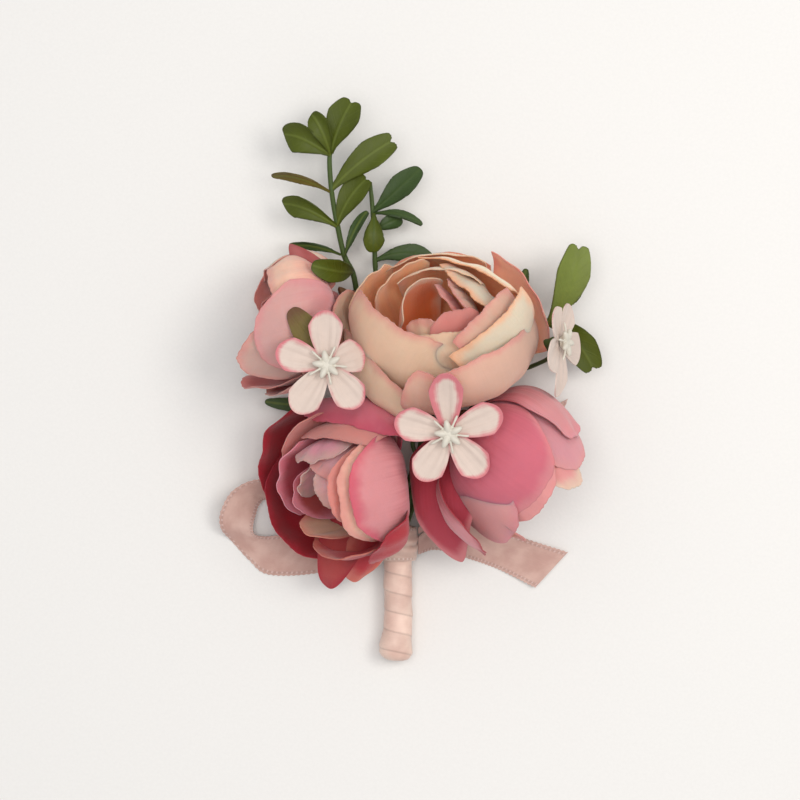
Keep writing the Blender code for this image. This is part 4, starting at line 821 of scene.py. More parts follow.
BLOSSOM_LEAF = leaf((-17.8, 59.0, 32.8), (-20.0, 63.0, 33.5), (-23.0, 68.0, 33.9), (-26.5, 72.4, 33.3), 3.3,
                    cup=0.3, widest=0.6, tip=0.4)
SPRAY_A = dict(
    name="left_spray", place=slot(225), stem=((-4.6, 35.0, 2.2), (-8.2, 55.0, 2.3), (-9.9, 70.0, 3.0),
                                              (-11.3, 81.5, 5.2), (-13.8, 87.0, 7.0), (-15.6, 95.0, 9.0),
                                              (-17.0, 103.5, 11.0), (-17.5, 111.5, 12.5), (-16.8, 114.0, 13.0)),
    radius=0.75,
    leaves=[
        leaf((-17.2, 113.0, 13.0), (-16.2, 117.0, 14.5), (-14.5, 121.0, 16.0), (-11.6, 126.0, 14.5), 4.2,
             facing=(-0.25, 0.1, 1), notch=0.16),
        leaf((-17.2, 112.6, 13.0), (-21.0, 114.5, 15.5), (-25.0, 117.5, 16.5), (-29.0, 117.8, 13.0), 3.8,
             facing=(0.1, -0.4, 0.9), cup=1.6),
        leaf((-17.4, 112.8, 13.2), (-18.0, 115.5, 16.5), (-20.0, 120.0, 18.0), (-21.8, 122.5, 16.5), 2.6,
             facing=(0.2, -0.7, 0.7), cup=1.0),
        leaf((-17.4, 103.3, 11.2), (-21.5, 105.5, 12.5), (-27.5, 108.3, 12.0), (-32.3, 107.4, 9.0), 1.8,
             facing=(0.1, -0.8, 0.6), cup=0.5),
        leaf((-17.1, 103.8, 11.2), (-13.5, 107.5, 12.5), (-9.5, 111.5, 14.0), (-1.2, 116.2, 13.5), 3.9,
             facing=(0.1, 0.1, 1), notch=0.14, widest=0.85, stalk=0.15),
        leaf((-15.8, 94.6, 9.4), (-20.0, 97.3, 12.0), (-26.0, 100.5, 11.5), (-29.4, 100.4, 8.5), 2.8,
             facing=(0.1, -0.4, 0.9), cup=1.2),
        leaf((-15.6, 94.9, 9.4), (-14.3, 98.5, 11.0), (-12.6, 102.5, 12.5), (-7.8, 106.6, 11.5), 3.4,
             facing=(-0.3, 0.2, 1), notch=0.12),
        leaf((-13.9, 86.6, 7.2), (-12.5, 90.5, 9.5), (-11.0, 95.0, 9.8), (-7.8, 98.4, 8.6), 1.5,
             facing=(-0.4, 0.2, 0.9), cup=0.4),
        leaf((-14.0, 87.2, 7.2), (-18.0, 88.8, 9.0), (-23.0, 90.2, 9.0), (-28.0, 89.8, 7.0), 1.2,
             facing=(0.0, -0.6, 0.8), cup=0.3),
        leaf((-11.8, 83.0, 6.0), (-12.0, 82.5, 15.0), (-14.5, 81.5, 27.0), (-21.5, 83.6, 27.6), 3.0,
             facing=(0.3, -0.3, 0.9), cup=0.8),
        leaf((-7.6, 50.0, 2.3), (-16.0, 49.0, 3.0), (-25.0, 48.0, 3.4), (-34.5, 49.6, 2.8), 1.8, cup=0.3),
    ])
SPRAY_B = dict(
    name="middle_spray", place=slot(270), stem=((-1.2, 35.0, 1.7), (-3.0, 55.0, 1.8), (-4.2, 70.0, 2.3),
                                                (-5.8, 83.5, 4.5), (-6.1, 90.8, 6.0), (-6.6, 99.5, 7.5),
                                                (-7.2, 106.0, 8.0)),
    radius=0.7,
    leaves=[
        leaf((-6.5, 98.5, 7.6), (-3.0, 101.0, 9.0), (0.5, 104.5, 10.5), (5.8, 109.3, 9.5), 3.4,
             facing=(-0.3, 0.2, 1), tip=0.35),
        leaf((-6.4, 97.8, 7.4), (-3.0, 98.6, 8.5), (2.0, 98.0, 8.0), (6.2, 95.2, 6.0), 1.5,
             facing=(0.2, 0.6, 0.8), cup=0.4),
        leaf((-6.3, 98.0, 7.6), (-6.0, 94.5, 10.5), (-6.3, 91.5, 11.5), (-6.4, 88.0, 9.0), 2.6,
             facing=(0.1, 0.2, 1), cup=1.0),
        leaf((-6.2, 93.5, 6.6), (-3.6, 95.0, 8.5), (-1.5, 96.0, 8.0), (0.8, 96.8, 6.0), 2.2,
             facing=(0.1, 0.3, 1), cup=0.6),
        leaf((-5.9, 86.0, 5.0), (-1.5, 88.0, 6.0), (3.5, 88.8, 6.5), (9.0, 86.0, 5.0), 2.6,
             facing=(0.1, 0.2, 1), cup=0.6),
    ])
SPRAY_C = dict(
    name="right_spray", place=slot(315), stem=((6.0, 32.0, 1.9), (14.0, 48.0, 2.2), (24.0, 60.5, 3.2),
                                               (33.0, 67.5, 5.6), (39.0, 70.2, 8.5)),
    radius=0.65,
    leaves=[
        leaf((38.4, 69.8, 8.4), (41.5, 73.0, 12.0), (44.5, 80.0, 15.5), (46.0, 89.2, 14.5), 4.3,
             facing=(0.35, -0.1, 0.95), notch=0.16),
        leaf((38.2, 69.6, 8.2), (40.5, 73.5, 9.0), (44.0, 76.5, 9.5), (47.5, 79.5, 8.0), 2.0,
             facing=(0.4, -0.3, 0.9), cup=0.5),
        leaf((38.4, 69.6, 8.3), (42.0, 69.5, 9.5), (46.5, 65.5, 10.5), (50.3, 57.8, 8.5), 4.0,
             facing=(-0.2, -0.1, 1), notch=0.14),
        leaf((29.0, 64.6, 4.4), (30.0, 70.0, 4.8), (31.5, 77.0, 5.2), (33.0, 83.8, 7.0), 1.6, cup=0.3),
    ])


# Ribbon: matching edge points of each strip

LOOP_OUTER = (
    (-5.2, 17.0, 7.0), (-11.0, 21.5, 3.6), (-22.0, 27.0, 3.8), (-34.5, 29.6, 8.0), (-42.0, 27.0, 8.5),
    (-45.6, 21.5, 6.5), (-45.9, 17.0, 4.0), (-43.4, 13.4, 0.4), (-38.8, 8.4, 0.4), (-33.6, 4.6, 0.4),
    (-21.0, 5.0, 0.4), (-10.0, 8.6, 0.5), (-5.2, 9.4, 2.6))
LOOP_INNER = (
    (-5.2, 13.0, 7.4), (-12.0, 14.6, 2.6), (-22.5, 18.6, 2.2), (-33.0, 23.9, 2.0), (-35.8, 23.2, 2.6),
    (-37.0, 20.0, 3.0), (-37.6, 17.4, 3.2), (-37.2, 15.2, 3.2), (-34.6, 14.6, 2.9), (-29.5, 14.9, 2.4),
    (-20.0, 14.6, 1.0), (-10.6, 13.2, 0.5), (-5.2, 12.0, 3.2))
TAIL_UPPER = ((5.2, 14.6, 3.6), (11.0, 18.8, 0.5), (20.0, 18.0, 0.3), (32.0, 14.2, 0.4), (44.2, 10.4, 1.4))
TAIL_LOWER = ((5.2, 10.0, 3.0), (10.0, 11.0, 0.5), (18.0, 8.8, 0.3), (26.0, 6.0, 0.4), (35.7, 1.2, 1.4))
CLIMB_LEFT = ((5.2, 17.0, 5.0), (11.0, 24.5, 0.9), (20.0, 33.5, 0.3), (30.0, 42.5, 0.3), (36.6, 46.4, 0.8))
CLIMB_RIGHT = ((5.2, 15.4, 4.6), (15.0, 19.6, 0.9), (27.0, 26.5, 0.3), (38.0, 35.5, 0.3), (44.2, 50.4, 1.2))


# Mesh builders

def in_rows(values):
    """Vectors of any arrangement as one list of rows."""
    return np.asarray(values, dtype=float).reshape(-1, 3)


class Shell:
    """Closed surfaces that become one mesh, with the values painted on their points."""

    def __init__(self):
        self.points, self.faces, self.painted, self.count = [], [], [], 0

    def add(self, points, faces, **painted):
        points = in_rows(points)
        self.points.append(points)
        self.faces += [tuple(int(i) + self.count for i in face) for face in faces]
        self.painted.append((len(points), painted))
        self.count += len(points)

    def make(self, name, finish, node):
        mesh = bpy.data.meshes.new(name)
        mesh.from_pydata((np.concatenate(self.points) * MM).tolist(), [], self.faces)
        for key in ("body", "rim", "root", "place", "cloth"):
            values = [np.broadcast_to(in_rows(painted.get(key, (0, 0, 0))), (size, 3))
                      for size, painted in self.painted]
            layer = mesh.attributes.new(key, "FLOAT_VECTOR", "POINT")
            layer.data.foreach_set("vector", np.concatenate(values).ravel())
        mesh.materials.append(finish)
        mesh.shade_smooth()
        mesh.set_sharp_from_angle(angle=math.radians(SHARP_ANGLE))
        piece = bpy.data.objects.new(name, mesh)
        bpy.context.scene.collection.objects.link(piece)
        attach(piece, "root")
        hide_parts(node)
        return piece


def grid_normals(points):
    rows = np.gradient(points, axis=0)
    columns = np.gradient(points, axis=1)
    normals = np.cross(rows, columns)
    return normals / np.maximum(np.linalg.norm(normals, axis=2, keepdims=True), 1e-9)


def both_sides(front, rear=None):
    """Values for the front points of a sheet and then for its rear points."""
    return np.concatenate([in_rows(front), in_rows(front if rear is None else rear)])


def sheet_shell(points, thickness):
    """Front and rear points of a closed sheet around a grid, and its faces, all turned to point out."""
    normals = grid_normals(points) * (thickness / 2)
    rows, columns = points.shape[:2]
    index = np.arange(rows * columns).reshape(rows, columns)
    back = rows * columns
    quads = np.stack([index[:-1, :-1], index[1:, :-1], index[1:, 1:], index[:-1, 1:]], axis=-1).reshape(-1, 4)
    rim = np.concatenate([index[:, 0], index[-1, 1:], index[-2::-1, -1], index[0, -2:0:-1]])
    after = np.roll(rim, -1)
    border = np.stack([rim, rim + back, after + back, after], axis=-1)
    faces = np.concatenate([quads, quads[:, ::-1] + back, border])
    return both_sides(points + normals, points - normals), faces


def spread(value, shape):
    """One colour for every point of a grid."""
    return np.broadcast_to(np.asarray(value, dtype=float), (*shape, 3))


def stacked(*values):
    """Grids of numbers as one grid of vectors."""
    return np.stack(np.broadcast_arrays(*values), axis=-1)


def slow_waves(side, share, chance):
    """A few slow waves on top of one another, each with its own drawn length and direction."""
    total = 0.0
    for _ in range(WAVES):
        total = total + np.sin(chance.uniform(0.8, 3.6) * math.pi * side * chance.choice([-1, 1])
                               + chance.uniform(0.8, 3.2) * math.pi * share + chance.uniform(0, DRAWN_TURN))
    return total / math.sqrt(WAVES)


def ring_faces(rings, sides, joined=False):
    """Quads between the rings, and what closes them: flat ends, or quads from the last ring to the first."""
    index = np.arange(rings * sides).reshape(rings, sides)
    after = np.roll(index, -1, axis=1)
    walls = np.stack([index[:-1], after[:-1], after[1:], index[1:]], axis=-1).reshape(-1, 4).tolist()
    if joined:
        return walls, np.stack([index[-1], after[-1], after[0], index[0]], axis=-1).tolist()
    return walls, [index[0, ::-1].tolist(), index[-1].tolist()]


def turned_over(faces):
    return [face[::-1] for face in faces]


def ring_of(angle, first, second):
    """Points at the given angles round a circle of radius 1 between two directions."""
    return np.cos(angle)[:, None] * first + np.sin(angle)[:, None] * second


def towards(angle, first, second):
    return math.cos(angle) * first + math.sin(angle) * second


def run_of(route):
    """How far along a route each of its points is."""
    return np.concatenate([[0.0], np.cumsum(np.linalg.norm(np.diff(route, axis=0), axis=1))])


def add_tube(shell, route, radii, tint, number, ridges=0.0, end=1.0):
    """A closed round bar along a route; end says up to which share of a longer bar it goes."""
    route = np.asarray(route, dtype=float)
    radii = np.broadcast_to(radii, len(route))
    ahead = np.gradient(route, axis=0)
    ahead /= np.linalg.norm(ahead, axis=1, keepdims=True)
    gone = run_of(route)
    side = unit(np.cross(ahead[0], (0.31, 0.17, 1.0)))
    angle = np.arange(TUBE_SIDES) * TURN / TUBE_SIDES
    rings, place, cloth = [], [], []
    for point, direction, size, far in zip(route, ahead, radii, gone):
        side = unit(side - direction * side.dot(direction))
        reach = size * (1 + ridges * np.cos(5 * angle + far * 0.25))
        rings.append(point + reach[:, None] * ring_of(angle, side, np.cross(direction, side)))
        place.append(stacked(1.0, end * far / gone[-1], angle))
        cloth.append(stacked(angle * size, far, float(number)))
    walls, ends = ring_faces(len(route), TUBE_SIDES)
    shell.add(np.concatenate(rings), walls + ends, body=tint, rim=tint, root=tint, place=np.concatenate(place),
              cloth=np.concatenate(cloth))


def add_turned(shell, profile, base, axis, tint, lobes=0.0, share=1.0, closed=True):
    """A turned solid: the profile lists radius and height, and lobes says how much its outline waves."""
    direction, first, second = frame_from(axis, (0.3, 0.2, 1.0) if abs(unit(axis)[2]) < 0.9 else (1, 0, 0))
    base = np.asarray(base, dtype=float)
    angle = np.arange(TURNED_SIDES) * TURN / TURNED_SIDES
    rings = []
    for radius, height in profile:
        reach = max(radius, SMALLEST_RADIUS) * (1 + lobes * np.cos(LOBES * angle) * min(1.0, radius / 2.0))
        rings.append(base + direction * height + reach[:, None] * ring_of(angle, first, second))
    walls, ends = ring_faces(len(profile), TURNED_SIDES, joined=not closed)
    faces = turned_over(walls) + (ends if closed else turned_over(ends))
    spin = np.tile(angle, len(profile))
    height = np.repeat([h for _, h in profile], TURNED_SIDES)
    shell.add(np.concatenate(rings), faces, body=tint, rim=tint, root=tint, place=stacked(2.0, share, spin),
              cloth=stacked(spin * 2.0, height, 0.0))


# Blooms

def petal_surface(bloom, shape, cells, back, seed, petals):
    """Middle surface of a petal, and the values that its cloth is painted from."""
    chance = np.random.default_rng(seed)
    side = np.linspace(-1.0, 1.0, cells[0] + 1)[:, None]
    even = np.linspace(0.0, 1.0, cells[1] + 1)[None, :]
    long = math.hypot(shape["height"], shape["belly"])
    turns = chance.uniform(0, DRAWN_TURN, 6)
    fray = 0.004 * (1 + np.sin(5.3 * side + turns[0])) + 0.003 * (1 + np.sin(13.1 * side + turns[1]))
    fray = fray + 0.0034 * (1 + np.sin(43.0 * side + turns[2] + 2.0 * np.sin(9.0 * side)))
    trim = shape["round_off"] * np.abs(side) ** 2.6 + shape["point"] / long * np.abs(side) + fray
    share = even * (1.0 - trim)
    start = (1.2, shape["root"])
    swing = (shape["belly"], shape["root"] - 0.3)
    rise = (shape["belly"], shape["root"] + shape["shoulder"] * (shape["height"] - shape["root"]))
    place = bezier((start, swing, rise, (shape["rim"], shape["height"])), share)
    radius, height = place[..., 0], place[..., 1]
    widening = PETAL_ROOT_SHARE + (1 - PETAL_ROOT_SHARE) * np.sin(np.minimum(share / 0.7, 1.0) * math.pi / 2)
    offset = side * shape["width"] * widening
    wrap = np.maximum(radius * shape["wrap"], MIN_WRAP)
    wrap = np.maximum(wrap, np.abs(offset) / 1.35)
    lateral = wrap * np.sin(offset / wrap) + shape["lean"] * share ** 2
    radial = radius - wrap * (1 - np.cos(offset / wrap))
    late = np.clip((share - 0.7) / 0.3, 0.0, 1.0)
    radial = radial + shape["spiral"] * side * share + shape["curl"] * late ** 2
    radial = radial + shape["edge"] * side ** 4 * share
    radial = radial + shape["ripple"] * np.sin(RIPPLES * math.pi * side) * share ** 3
    height = height + shape["slant"] * side * share
    angle = math.radians(shape["turn"])
    axis, first, second = frame_from(bloom["axis"], bloom["zero"])
    east = radial * math.cos(angle) - lateral * math.sin(angle)
    north = radial * math.sin(angle) + lateral * math.cos(angle)
    points = (np.asarray(bloom["base"]) + height[..., None] * axis + east[..., None] * first
              + north[..., None] * second)
    relief = mm(petals.pleat) * np.sin(chance.uniform(9, 14) * side + turns[3]) * np.sin(math.pi * even) ** 0.5
    relief = relief + mm(petals.crumple) * slow_waves(side, share, chance) * even
    relief = relief + mm(petals.ruffle) * np.sin(chance.uniform(8, 13) * side + turns[4]) * even ** 7
    relief = relief + mm(petals.lip) * np.clip((even - 0.93) / 0.07, 0, 1) ** 2
    points = points + grid_normals(points) * (relief * (1 - 0.5 * np.abs(side) ** 4))[..., None]
    points = press(points, bloom["room"], (mm(petals.thickness) + GAP) / 2 + back)
    if bloom["rest"] is not None:
        points = settle(points, bloom["rest"] + back)
    far = share * long * PETAL_BEND
    edge = np.minimum((1 - even) * (1 - trim) * long * PETAL_BEND,
                      (1 - np.abs(side)) * shape["width"] * widening)
    return points, stacked(edge, share, side * SIDE_SCALE), stacked(offset, far, float(seed % SEED_CYCLE))


def blade_surface(cells, route, width, facing, cup=0.0, root_share=0.3, widest=0.6, tip=0.25, notch=0.0,
                  power=2.2, swell=1.0, *, relief, number):
    """Middle surface of a leaf or a loose petal that follows a route and faces one way."""
    side = np.linspace(-1.0, 1.0, cells[0] + 1)[:, None]
    even = np.linspace(0.0, 1.0, cells[1] + 1)[None, :]
    trim = tip * np.abs(side) ** power + 0.5 * notch * np.exp(-(side / 0.2) ** 2)
    share = np.minimum(even * (1.0 - trim) / (1.0 - notch * 0.3), 1.0)
    spine = bezier(route, share)
    ahead = bezier(route, np.minimum(share + 0.01, 1.0)) - bezier(route, np.maximum(share - 0.01, 0.0))
    ahead = ahead / np.linalg.norm(ahead, axis=-1, keepdims=True)
    facing = unit(facing)
    sideways = np.cross(ahead, facing)
    sideways = sideways / np.linalg.norm(sideways, axis=-1, keepdims=True)
    outward = np.cross(sideways, ahead)
    widening = root_share + (1 - root_share) * np.sin(np.minimum(share / widest, 1.0) * math.pi / 2) ** swell
    offset = side * width * widening
    lift = cup * side ** 2 * widening
    long = np.linalg.norm(np.asarray(route[3]) - np.asarray(route[0])) * LEAF_BEND
    lift = lift + relief(side, even, share, offset, share * long)
    points = spine + offset[..., None] * sideways + lift[..., None] * outward
    edge = np.minimum((1 - even) * (1 - trim) * long, (1 - np.abs(side)) * width * widening)
    return points, stacked(edge, share, side * SIDE_SCALE), stacked(offset, share * long, float(number))


def add_sheet(shell, surface, thickness, body, inside, rim, root):
    """A closed sheet round a middle surface, with its outside, inside, rim and root in their colours."""
    points, place, cloth = surface
    shape = points.shape[:2]
    corners, faces = sheet_shell(points, thickness)
    shell.add(corners, faces, body=both_sides(spread(body, shape), spread(inside, shape)),
              rim=both_sides(spread(rim, shape)), root=both_sides(spread(root, shape)), place=both_sides(place),
              cloth=both_sides(cloth))


def loose_relief(petals, seed):
    """Waves and pleats of a petal that hangs loose."""
    chance = np.random.default_rng(seed)
    turns = chance.uniform(0, DRAWN_TURN, 3)

    def relief(side, even, share, offset, far):
        waves = mm(petals.crumple) * slow_waves(side, share, chance) * even
        pleats = mm(petals.pleat) * np.sin(11.0 * side + turns[0]) * np.sin(math.pi * even)
        return waves + pleats + mm(petals.ruffle) * np.sin(10.0 * side + turns[1]) * even ** 7

    return relief


def dress_bloom(bloom, table, loose, tints, finish, slot_name, seed):
    petals = settings("corsage_petals")
    shell = Shell()
    profile = [(0, CORE_TOP), (CORE_RADIUS * 0.75, CORE_TOP - 0.6), (CORE_RADIUS, CORE_TOP - 2.4),
               (CORE_RADIUS * 0.95, 0.8), (CORE_RADIUS * 0.6, -0.3), (SOCKET_RADIUS, -0.3),
               (SOCKET_RADIUS, SOCKET_DEPTH), (0, SOCKET_DEPTH)]
    dyes = [[dyed(petals, name) for name in tint.split()] for tint in tints]
    add_turned(shell, profile, bloom["base"], bloom["axis"], dyes[-1][-1], share=0.0)
    thickness = mm(petals.thickness)
    for number, shape in enumerate(table):
        cells = FINE_CELLS if shape["fine"] else INNER_CELLS
        surface = petal_surface(bloom, shape, cells, number * LAYER, seed + number, petals)
        add_sheet(shell, surface, thickness, *dyes[number])
    for number, shape in enumerate(loose):
        points, place, cloth = blade_surface(FINE_CELLS, relief=loose_relief(petals, seed + 50 + number),
                                             number=20 + number, **shape)
        points = press(points, bloom["room"], (thickness + GAP) / 2 + (number + 0.5) * LAYER)
        add_sheet(shell, (points, place, cloth), thickness, *dyes[len(table) + number])
    return shell.make(bloom["name"] + "_cloth", finish, bloom["name"])


# Small blossoms

def blossom_relief(group):
    """The fold along a small petal, its fine ribs and its raised tip."""
    def relief(side, even, share, offset, far):
        groove = -mm(group.groove) * np.exp(-(side / 0.22) ** 2) * np.sin(math.pi * np.minimum(even * 1.1, 1.0))
        ribs = 0.09 * np.cos(side * 15.0) * np.sin(math.pi * even)
        return groove + ribs + 0.35 * np.clip((even - 0.8) / 0.2, 0, 1) ** 2 * (1 - np.abs(side))

    return relief


def dress_blossom(flower, finish):
    group = settings("corsage_blossoms")
    shell = Shell()
    axis, first, second = frame_from(flower["axis"], flower["zero"])
    centre = np.asarray(flower["centre"])
    white, pink = dyed(group, "white"), dyed(group, "pink")
    disc = [(BLOSSOM_HOLE, 0.3), (BLOSSOM_DISC - 0.2, 0.27), (BLOSSOM_DISC, 0.0), (BLOSSOM_DISC - 0.2, -0.27),
            (BLOSSOM_HOLE, -0.3)]
    add_turned(shell, disc, centre, axis, white, closed=False)
    for number in range(BLOSSOM_PETALS):
        out = towards(math.radians(flower["start"] + 360 / BLOSSOM_PETALS * number), first, second)
        long, lift = flower["lengths"][number], flower["lifts"][number]
        route = (centre + out * 1.4, centre + out * (long * 0.4) + axis * (0.2 + lift * 0.1),
                 centre + out * (long * 0.75) + axis * (0.5 + lift * 0.5), centre + out * long + axis * lift)
        surface = blade_surface(BLOSSOM_CELLS, route, BLOSSOM_HALF_WIDTH, axis, cup=0.7, root_share=0.38,
                                widest=0.72, tip=0.32, relief=blossom_relief(group), number=number + 1)
        wide = BLOSSOM_BLUSH[flower["name"]][number]
        add_sheet(shell, surface, mm(group.thickness), white, white, pink, (wide, 0.0, 0.0))
    return shell.make(flower["name"] + "_cloth", finish, flower["name"] + "_petals")


def dress_stamens(flower, finish):
    """The moulded star: a low dome with thick lobes and thin threads between them, melted into one."""
    group = settings("corsage_blossoms")
    axis, first, second = frame_from(flower["axis"], flower["zero"])
    centre = np.asarray(flower["centre"]) + axis * (0.35 + GAP)
    shell = Shell()
    dome = [(0, 2.05), (0.6, 1.95), (1.2, 1.6), (1.6, 1.0), (1.7, 0.5), (1.5, 0.0), (0, 0.0)]
    add_turned(shell, dome, centre, axis, (0, 0, 0))
    for k in range(STAR_ARMS):
        out = towards(math.radians(360 / STAR_ARMS * k + 12), first, second)
        reach, rise, radii = ((STAR_LOBE, 1.7, LOBE_RADII), (STAR_THREAD, 1.1, THREAD_RADII))[k % 2]
        share = np.linspace(0.0, 1.0, len(radii))[:, None]
        start, end = centre + out * 0.4 + axis * 0.9, centre + out * reach + axis * rise
        route = start * (1 - share) + end * share + axis * 0.35 * np.sin(math.pi * share)
        add_tube(shell, route, radii, (0, 0, 0), k)
    piece = shell.make(flower["name"] + "_star", finish, flower["name"] + "_stamens")
    melt = piece.modifiers.new("melt", "REMESH")
    melt.mode = "VOXEL"
    melt.voxel_size = group.star_detail
    melt.use_smooth_shade = True
    ease = piece.modifiers.new("ease", "SMOOTH")
    ease.iterations = 2
    ease.factor = 0.5


# Stems and greenery

def leaf_relief(greens):
    """Midrib, side veins and a slow wave of a leaf."""
    def relief(side, even, share, offset, far):
        rib = mm(greens.rib) * np.exp(-(offset / 0.3) ** 2) * (1 - even * 0.6)
        slope = (far - np.abs(offset) * VEIN_SLANT) * (TURN / VEIN_STEP)
        veins = mm(greens.vein) * np.clip(np.sin(slope), 0, 1) ** 6 * np.clip(np.abs(side) * 3, 0, 1)
        wave = 0.22 * np.sin(7.0 * even + 2.0 * side) * even * np.abs(side)
        return rib - veins + wave

    return relief


def add_leaf(shell, shape, greens, tint, number):
    surface = blade_surface(LEAF_CELLS, power=3.0, swell=1.6, relief=leaf_relief(greens), number=number,
                            **shape)
    add_sheet(shell, surface, mm(greens.thickness), tint, tint * 0.85, tint, tint)


def whole_route(place, beyond):
    """A stem's way from its cut end in the handle to where it ends."""
    inside = handle_stretch(place)
    outside = smooth_route(inside[-1:] + list(beyond), 6)
    return np.concatenate([np.asarray(inside[:-1], dtype=float), outside])


def dress_bloom_stem(bloom, place, middle, finish, number):
    greens = settings("corsage_greenery")
    shell = Shell()
    brown, green = dyed(greens, "calyx_brown"), dyed(greens, "stem_green")
    low = -0.3 - GAP
    profile = [(0, SOCKET_DEPTH - GAP), (PEG_RADIUS, SOCKET_DEPTH - GAP), (PEG_RADIUS, low),
               (CALYX_RADIUS * 0.8, low), (CALYX_RADIUS, low - 0.5), (CALYX_RADIUS * 0.86, low - 1.2),
               (CALYX_RADIUS * 0.55, -2.8), (STEM_RADIUS * 1.9, -3.8), (STEM_RADIUS * 1.5, -CALYX_LENGTH),
               (0, -CALYX_LENGTH)]
    add_turned(shell, profile, bloom["base"], bloom["axis"], brown, lobes=0.10)
    beyond = list(middle) + [under_bloom(bloom, CALYX_LENGTH + 0.4), under_bloom(bloom, CALYX_LENGTH - 1.6)]
    add_tube(shell, whole_route(place, beyond), STEM_RADIUS, green, number, ridges=0.05)
    return shell.make(bloom["name"] + "_stalk", finish, bloom["name"] + "_stem")


def dress_blossom_stem(flower, place, middle, finish, number):
    greens = settings("corsage_greenery")
    shell = Shell()
    axis = unit(flower["axis"])
    centre = np.asarray(flower["centre"])
    green = dyed(greens, "stem_green")
    cup = [(0, 0.2), (0.6, 0.2), (0.6, -0.35 - GAP), (1.5, -0.35 - GAP), (1.45, -1.1), (1.2, -1.9), (0.9, -2.8),
           (0.75, -3.4), (0, -3.4)]
    add_turned(shell, cup, centre, axis, green, lobes=0.08, share=0.6)
    beyond = list(middle) + [tuple(centre - axis * 3.6), tuple(centre - axis * 2.4)]
    add_tube(shell, whole_route(place, beyond), STEM_RADIUS, green, number, ridges=0.05, end=0.7)
    if flower is LEFT_BLOSSOM:
        add_leaf(shell, BLOSSOM_LEAF, greens, dyed(greens, "olive"), 7)
    return shell.make(flower["name"] + "_stalk", finish, flower["name"] + "_stem")


# Colour of each leaf, in the order of its spray
SPRAY_TINTS = {
    "left_spray": "leaf_green leaf_green leaf_green olive leaf_green leaf_green leaf_green dark_green "
                  "dark_green leaf_green dark_green",
    "middle_spray": "dark_green dark_green leaf_green dark_green dark_green",
    "right_spray": "pale_green leaf_green leaf_green dark_green"}


def dress_spray(spray, finish):
    greens = settings("corsage_greenery")
    shell = Shell()
    route = whole_route(spray["place"], spray["stem"])
    share = np.linspace(0, 1, len(route))
    radii = spray["radius"] * (1 - 0.25 * share ** 3)
    add_tube(shell, route, radii, dyed(greens, "stem_green"), 3, ridges=0.06, end=0.65)
    for number, (shape, name) in enumerate(zip(spray["leaves"], SPRAY_TINTS[spray["name"]].split())):
        add_leaf(shell, shape, greens, dyed(greens, name), number + 1)
    return shell.make(spray["name"] + "_green", finish, spray["name"])


# Handle and ribbon

SLEEVE_ANGLES = (np.arange(SLEEVE_SIDES) + 0.5) * TURN / SLEEVE_SIDES


def add_sleeve(shell, stations, joined):
    """Rings round the handle's axis: each station gives Y, radii, distance from the edge, reach and painted
    light and shade.
    """
    rings, place, shades = [], [], []
    for y, radii, edge, along, shade in stations:
        height = np.maximum(0.0, handle_axis(y) + radii * np.sin(SLEEVE_ANGLES))
        rings.append(stacked(radii * np.cos(SLEEVE_ANGLES), y, height))
        place.append(stacked(edge, along, y))
        # Painted light and shade, with the creamier tint of the wound ribbon.
        shades.append(np.multiply.outer(np.broadcast_to(shade, SLEEVE_SIDES), SLEEVE_TINT_AND_LIGHT))
    walls, ends = ring_faces(len(stations), SLEEVE_SIDES, joined)
    shell.add(np.concatenate(rings), turned_over(walls + ends), body=np.concatenate(shades),
              place=np.concatenate(place))


def dress_handle(ribbon, finish):
    """Ribbon wound round the stems in overlapping turns, tucked in at the cut end."""
    shell = Shell()
    angle = SLEEVE_ANGLES
    turn = mm(ribbon.turn)
    stations = []
    for y in np.arange(HANDLE_END, HANDLE_TOP + 0.01, HANDLE_STEP):
        phase = (y + 1.2) / turn - angle / TURN
        part = phase - np.floor(phase)
        step = 0.22 * np.clip(part / 0.05, 0, 1) * (1 - 0.85 * part)
        soft = 0.07 * np.sin(2 * angle + y * 0.7) + 0.05 * np.sin(3 * angle - y * 0.4)
        tuck = math.sqrt(max(0.0, 1 - (max(0.0, HANDLE_END + TUCK_LENGTH - y) / TUCK_LENGTH) ** 2.4))
        radii = (HANDLE_RADIUS - 0.19 + step + soft) * (0.42 + 0.58 * tuck)
        swell = HANDLE_BULGE * np.clip(1.2 - abs(y - HANDLE_END - 3.2) / 5.0, 0, 1)
        swell = swell * np.clip(-np.cos(angle), 0, 1)
        # Painted shade in the seam where one turn laps over the next, and painted light that makes each turn a
        # little lighter or darker and the whole wound ribbon lighter.
        seam = np.minimum(part, 1 - part) * turn
        shade = (1.12 + 0.07 * np.sin(np.floor(phase) * 2.3)) * (1 - 0.22 * np.exp(-(seam / 0.22) ** 2))
        stations.append((y, radii + swell * tuck, 2.0, angle * HANDLE_RADIUS, shade))
    inner = HANDLE_RADIUS - HANDLE_WALL
    for y in (HANDLE_TOP, HANDLE_RISE_END, 9.0, 6.0, 4.0, 2.0, HANDLE_END + 1.0):
        stations.append((y, inner, 2.0, angle * inner, 1.0))
    add_sleeve(shell, stations, False)
    return shell.make("wound_handle", finish, "handle_wrap")


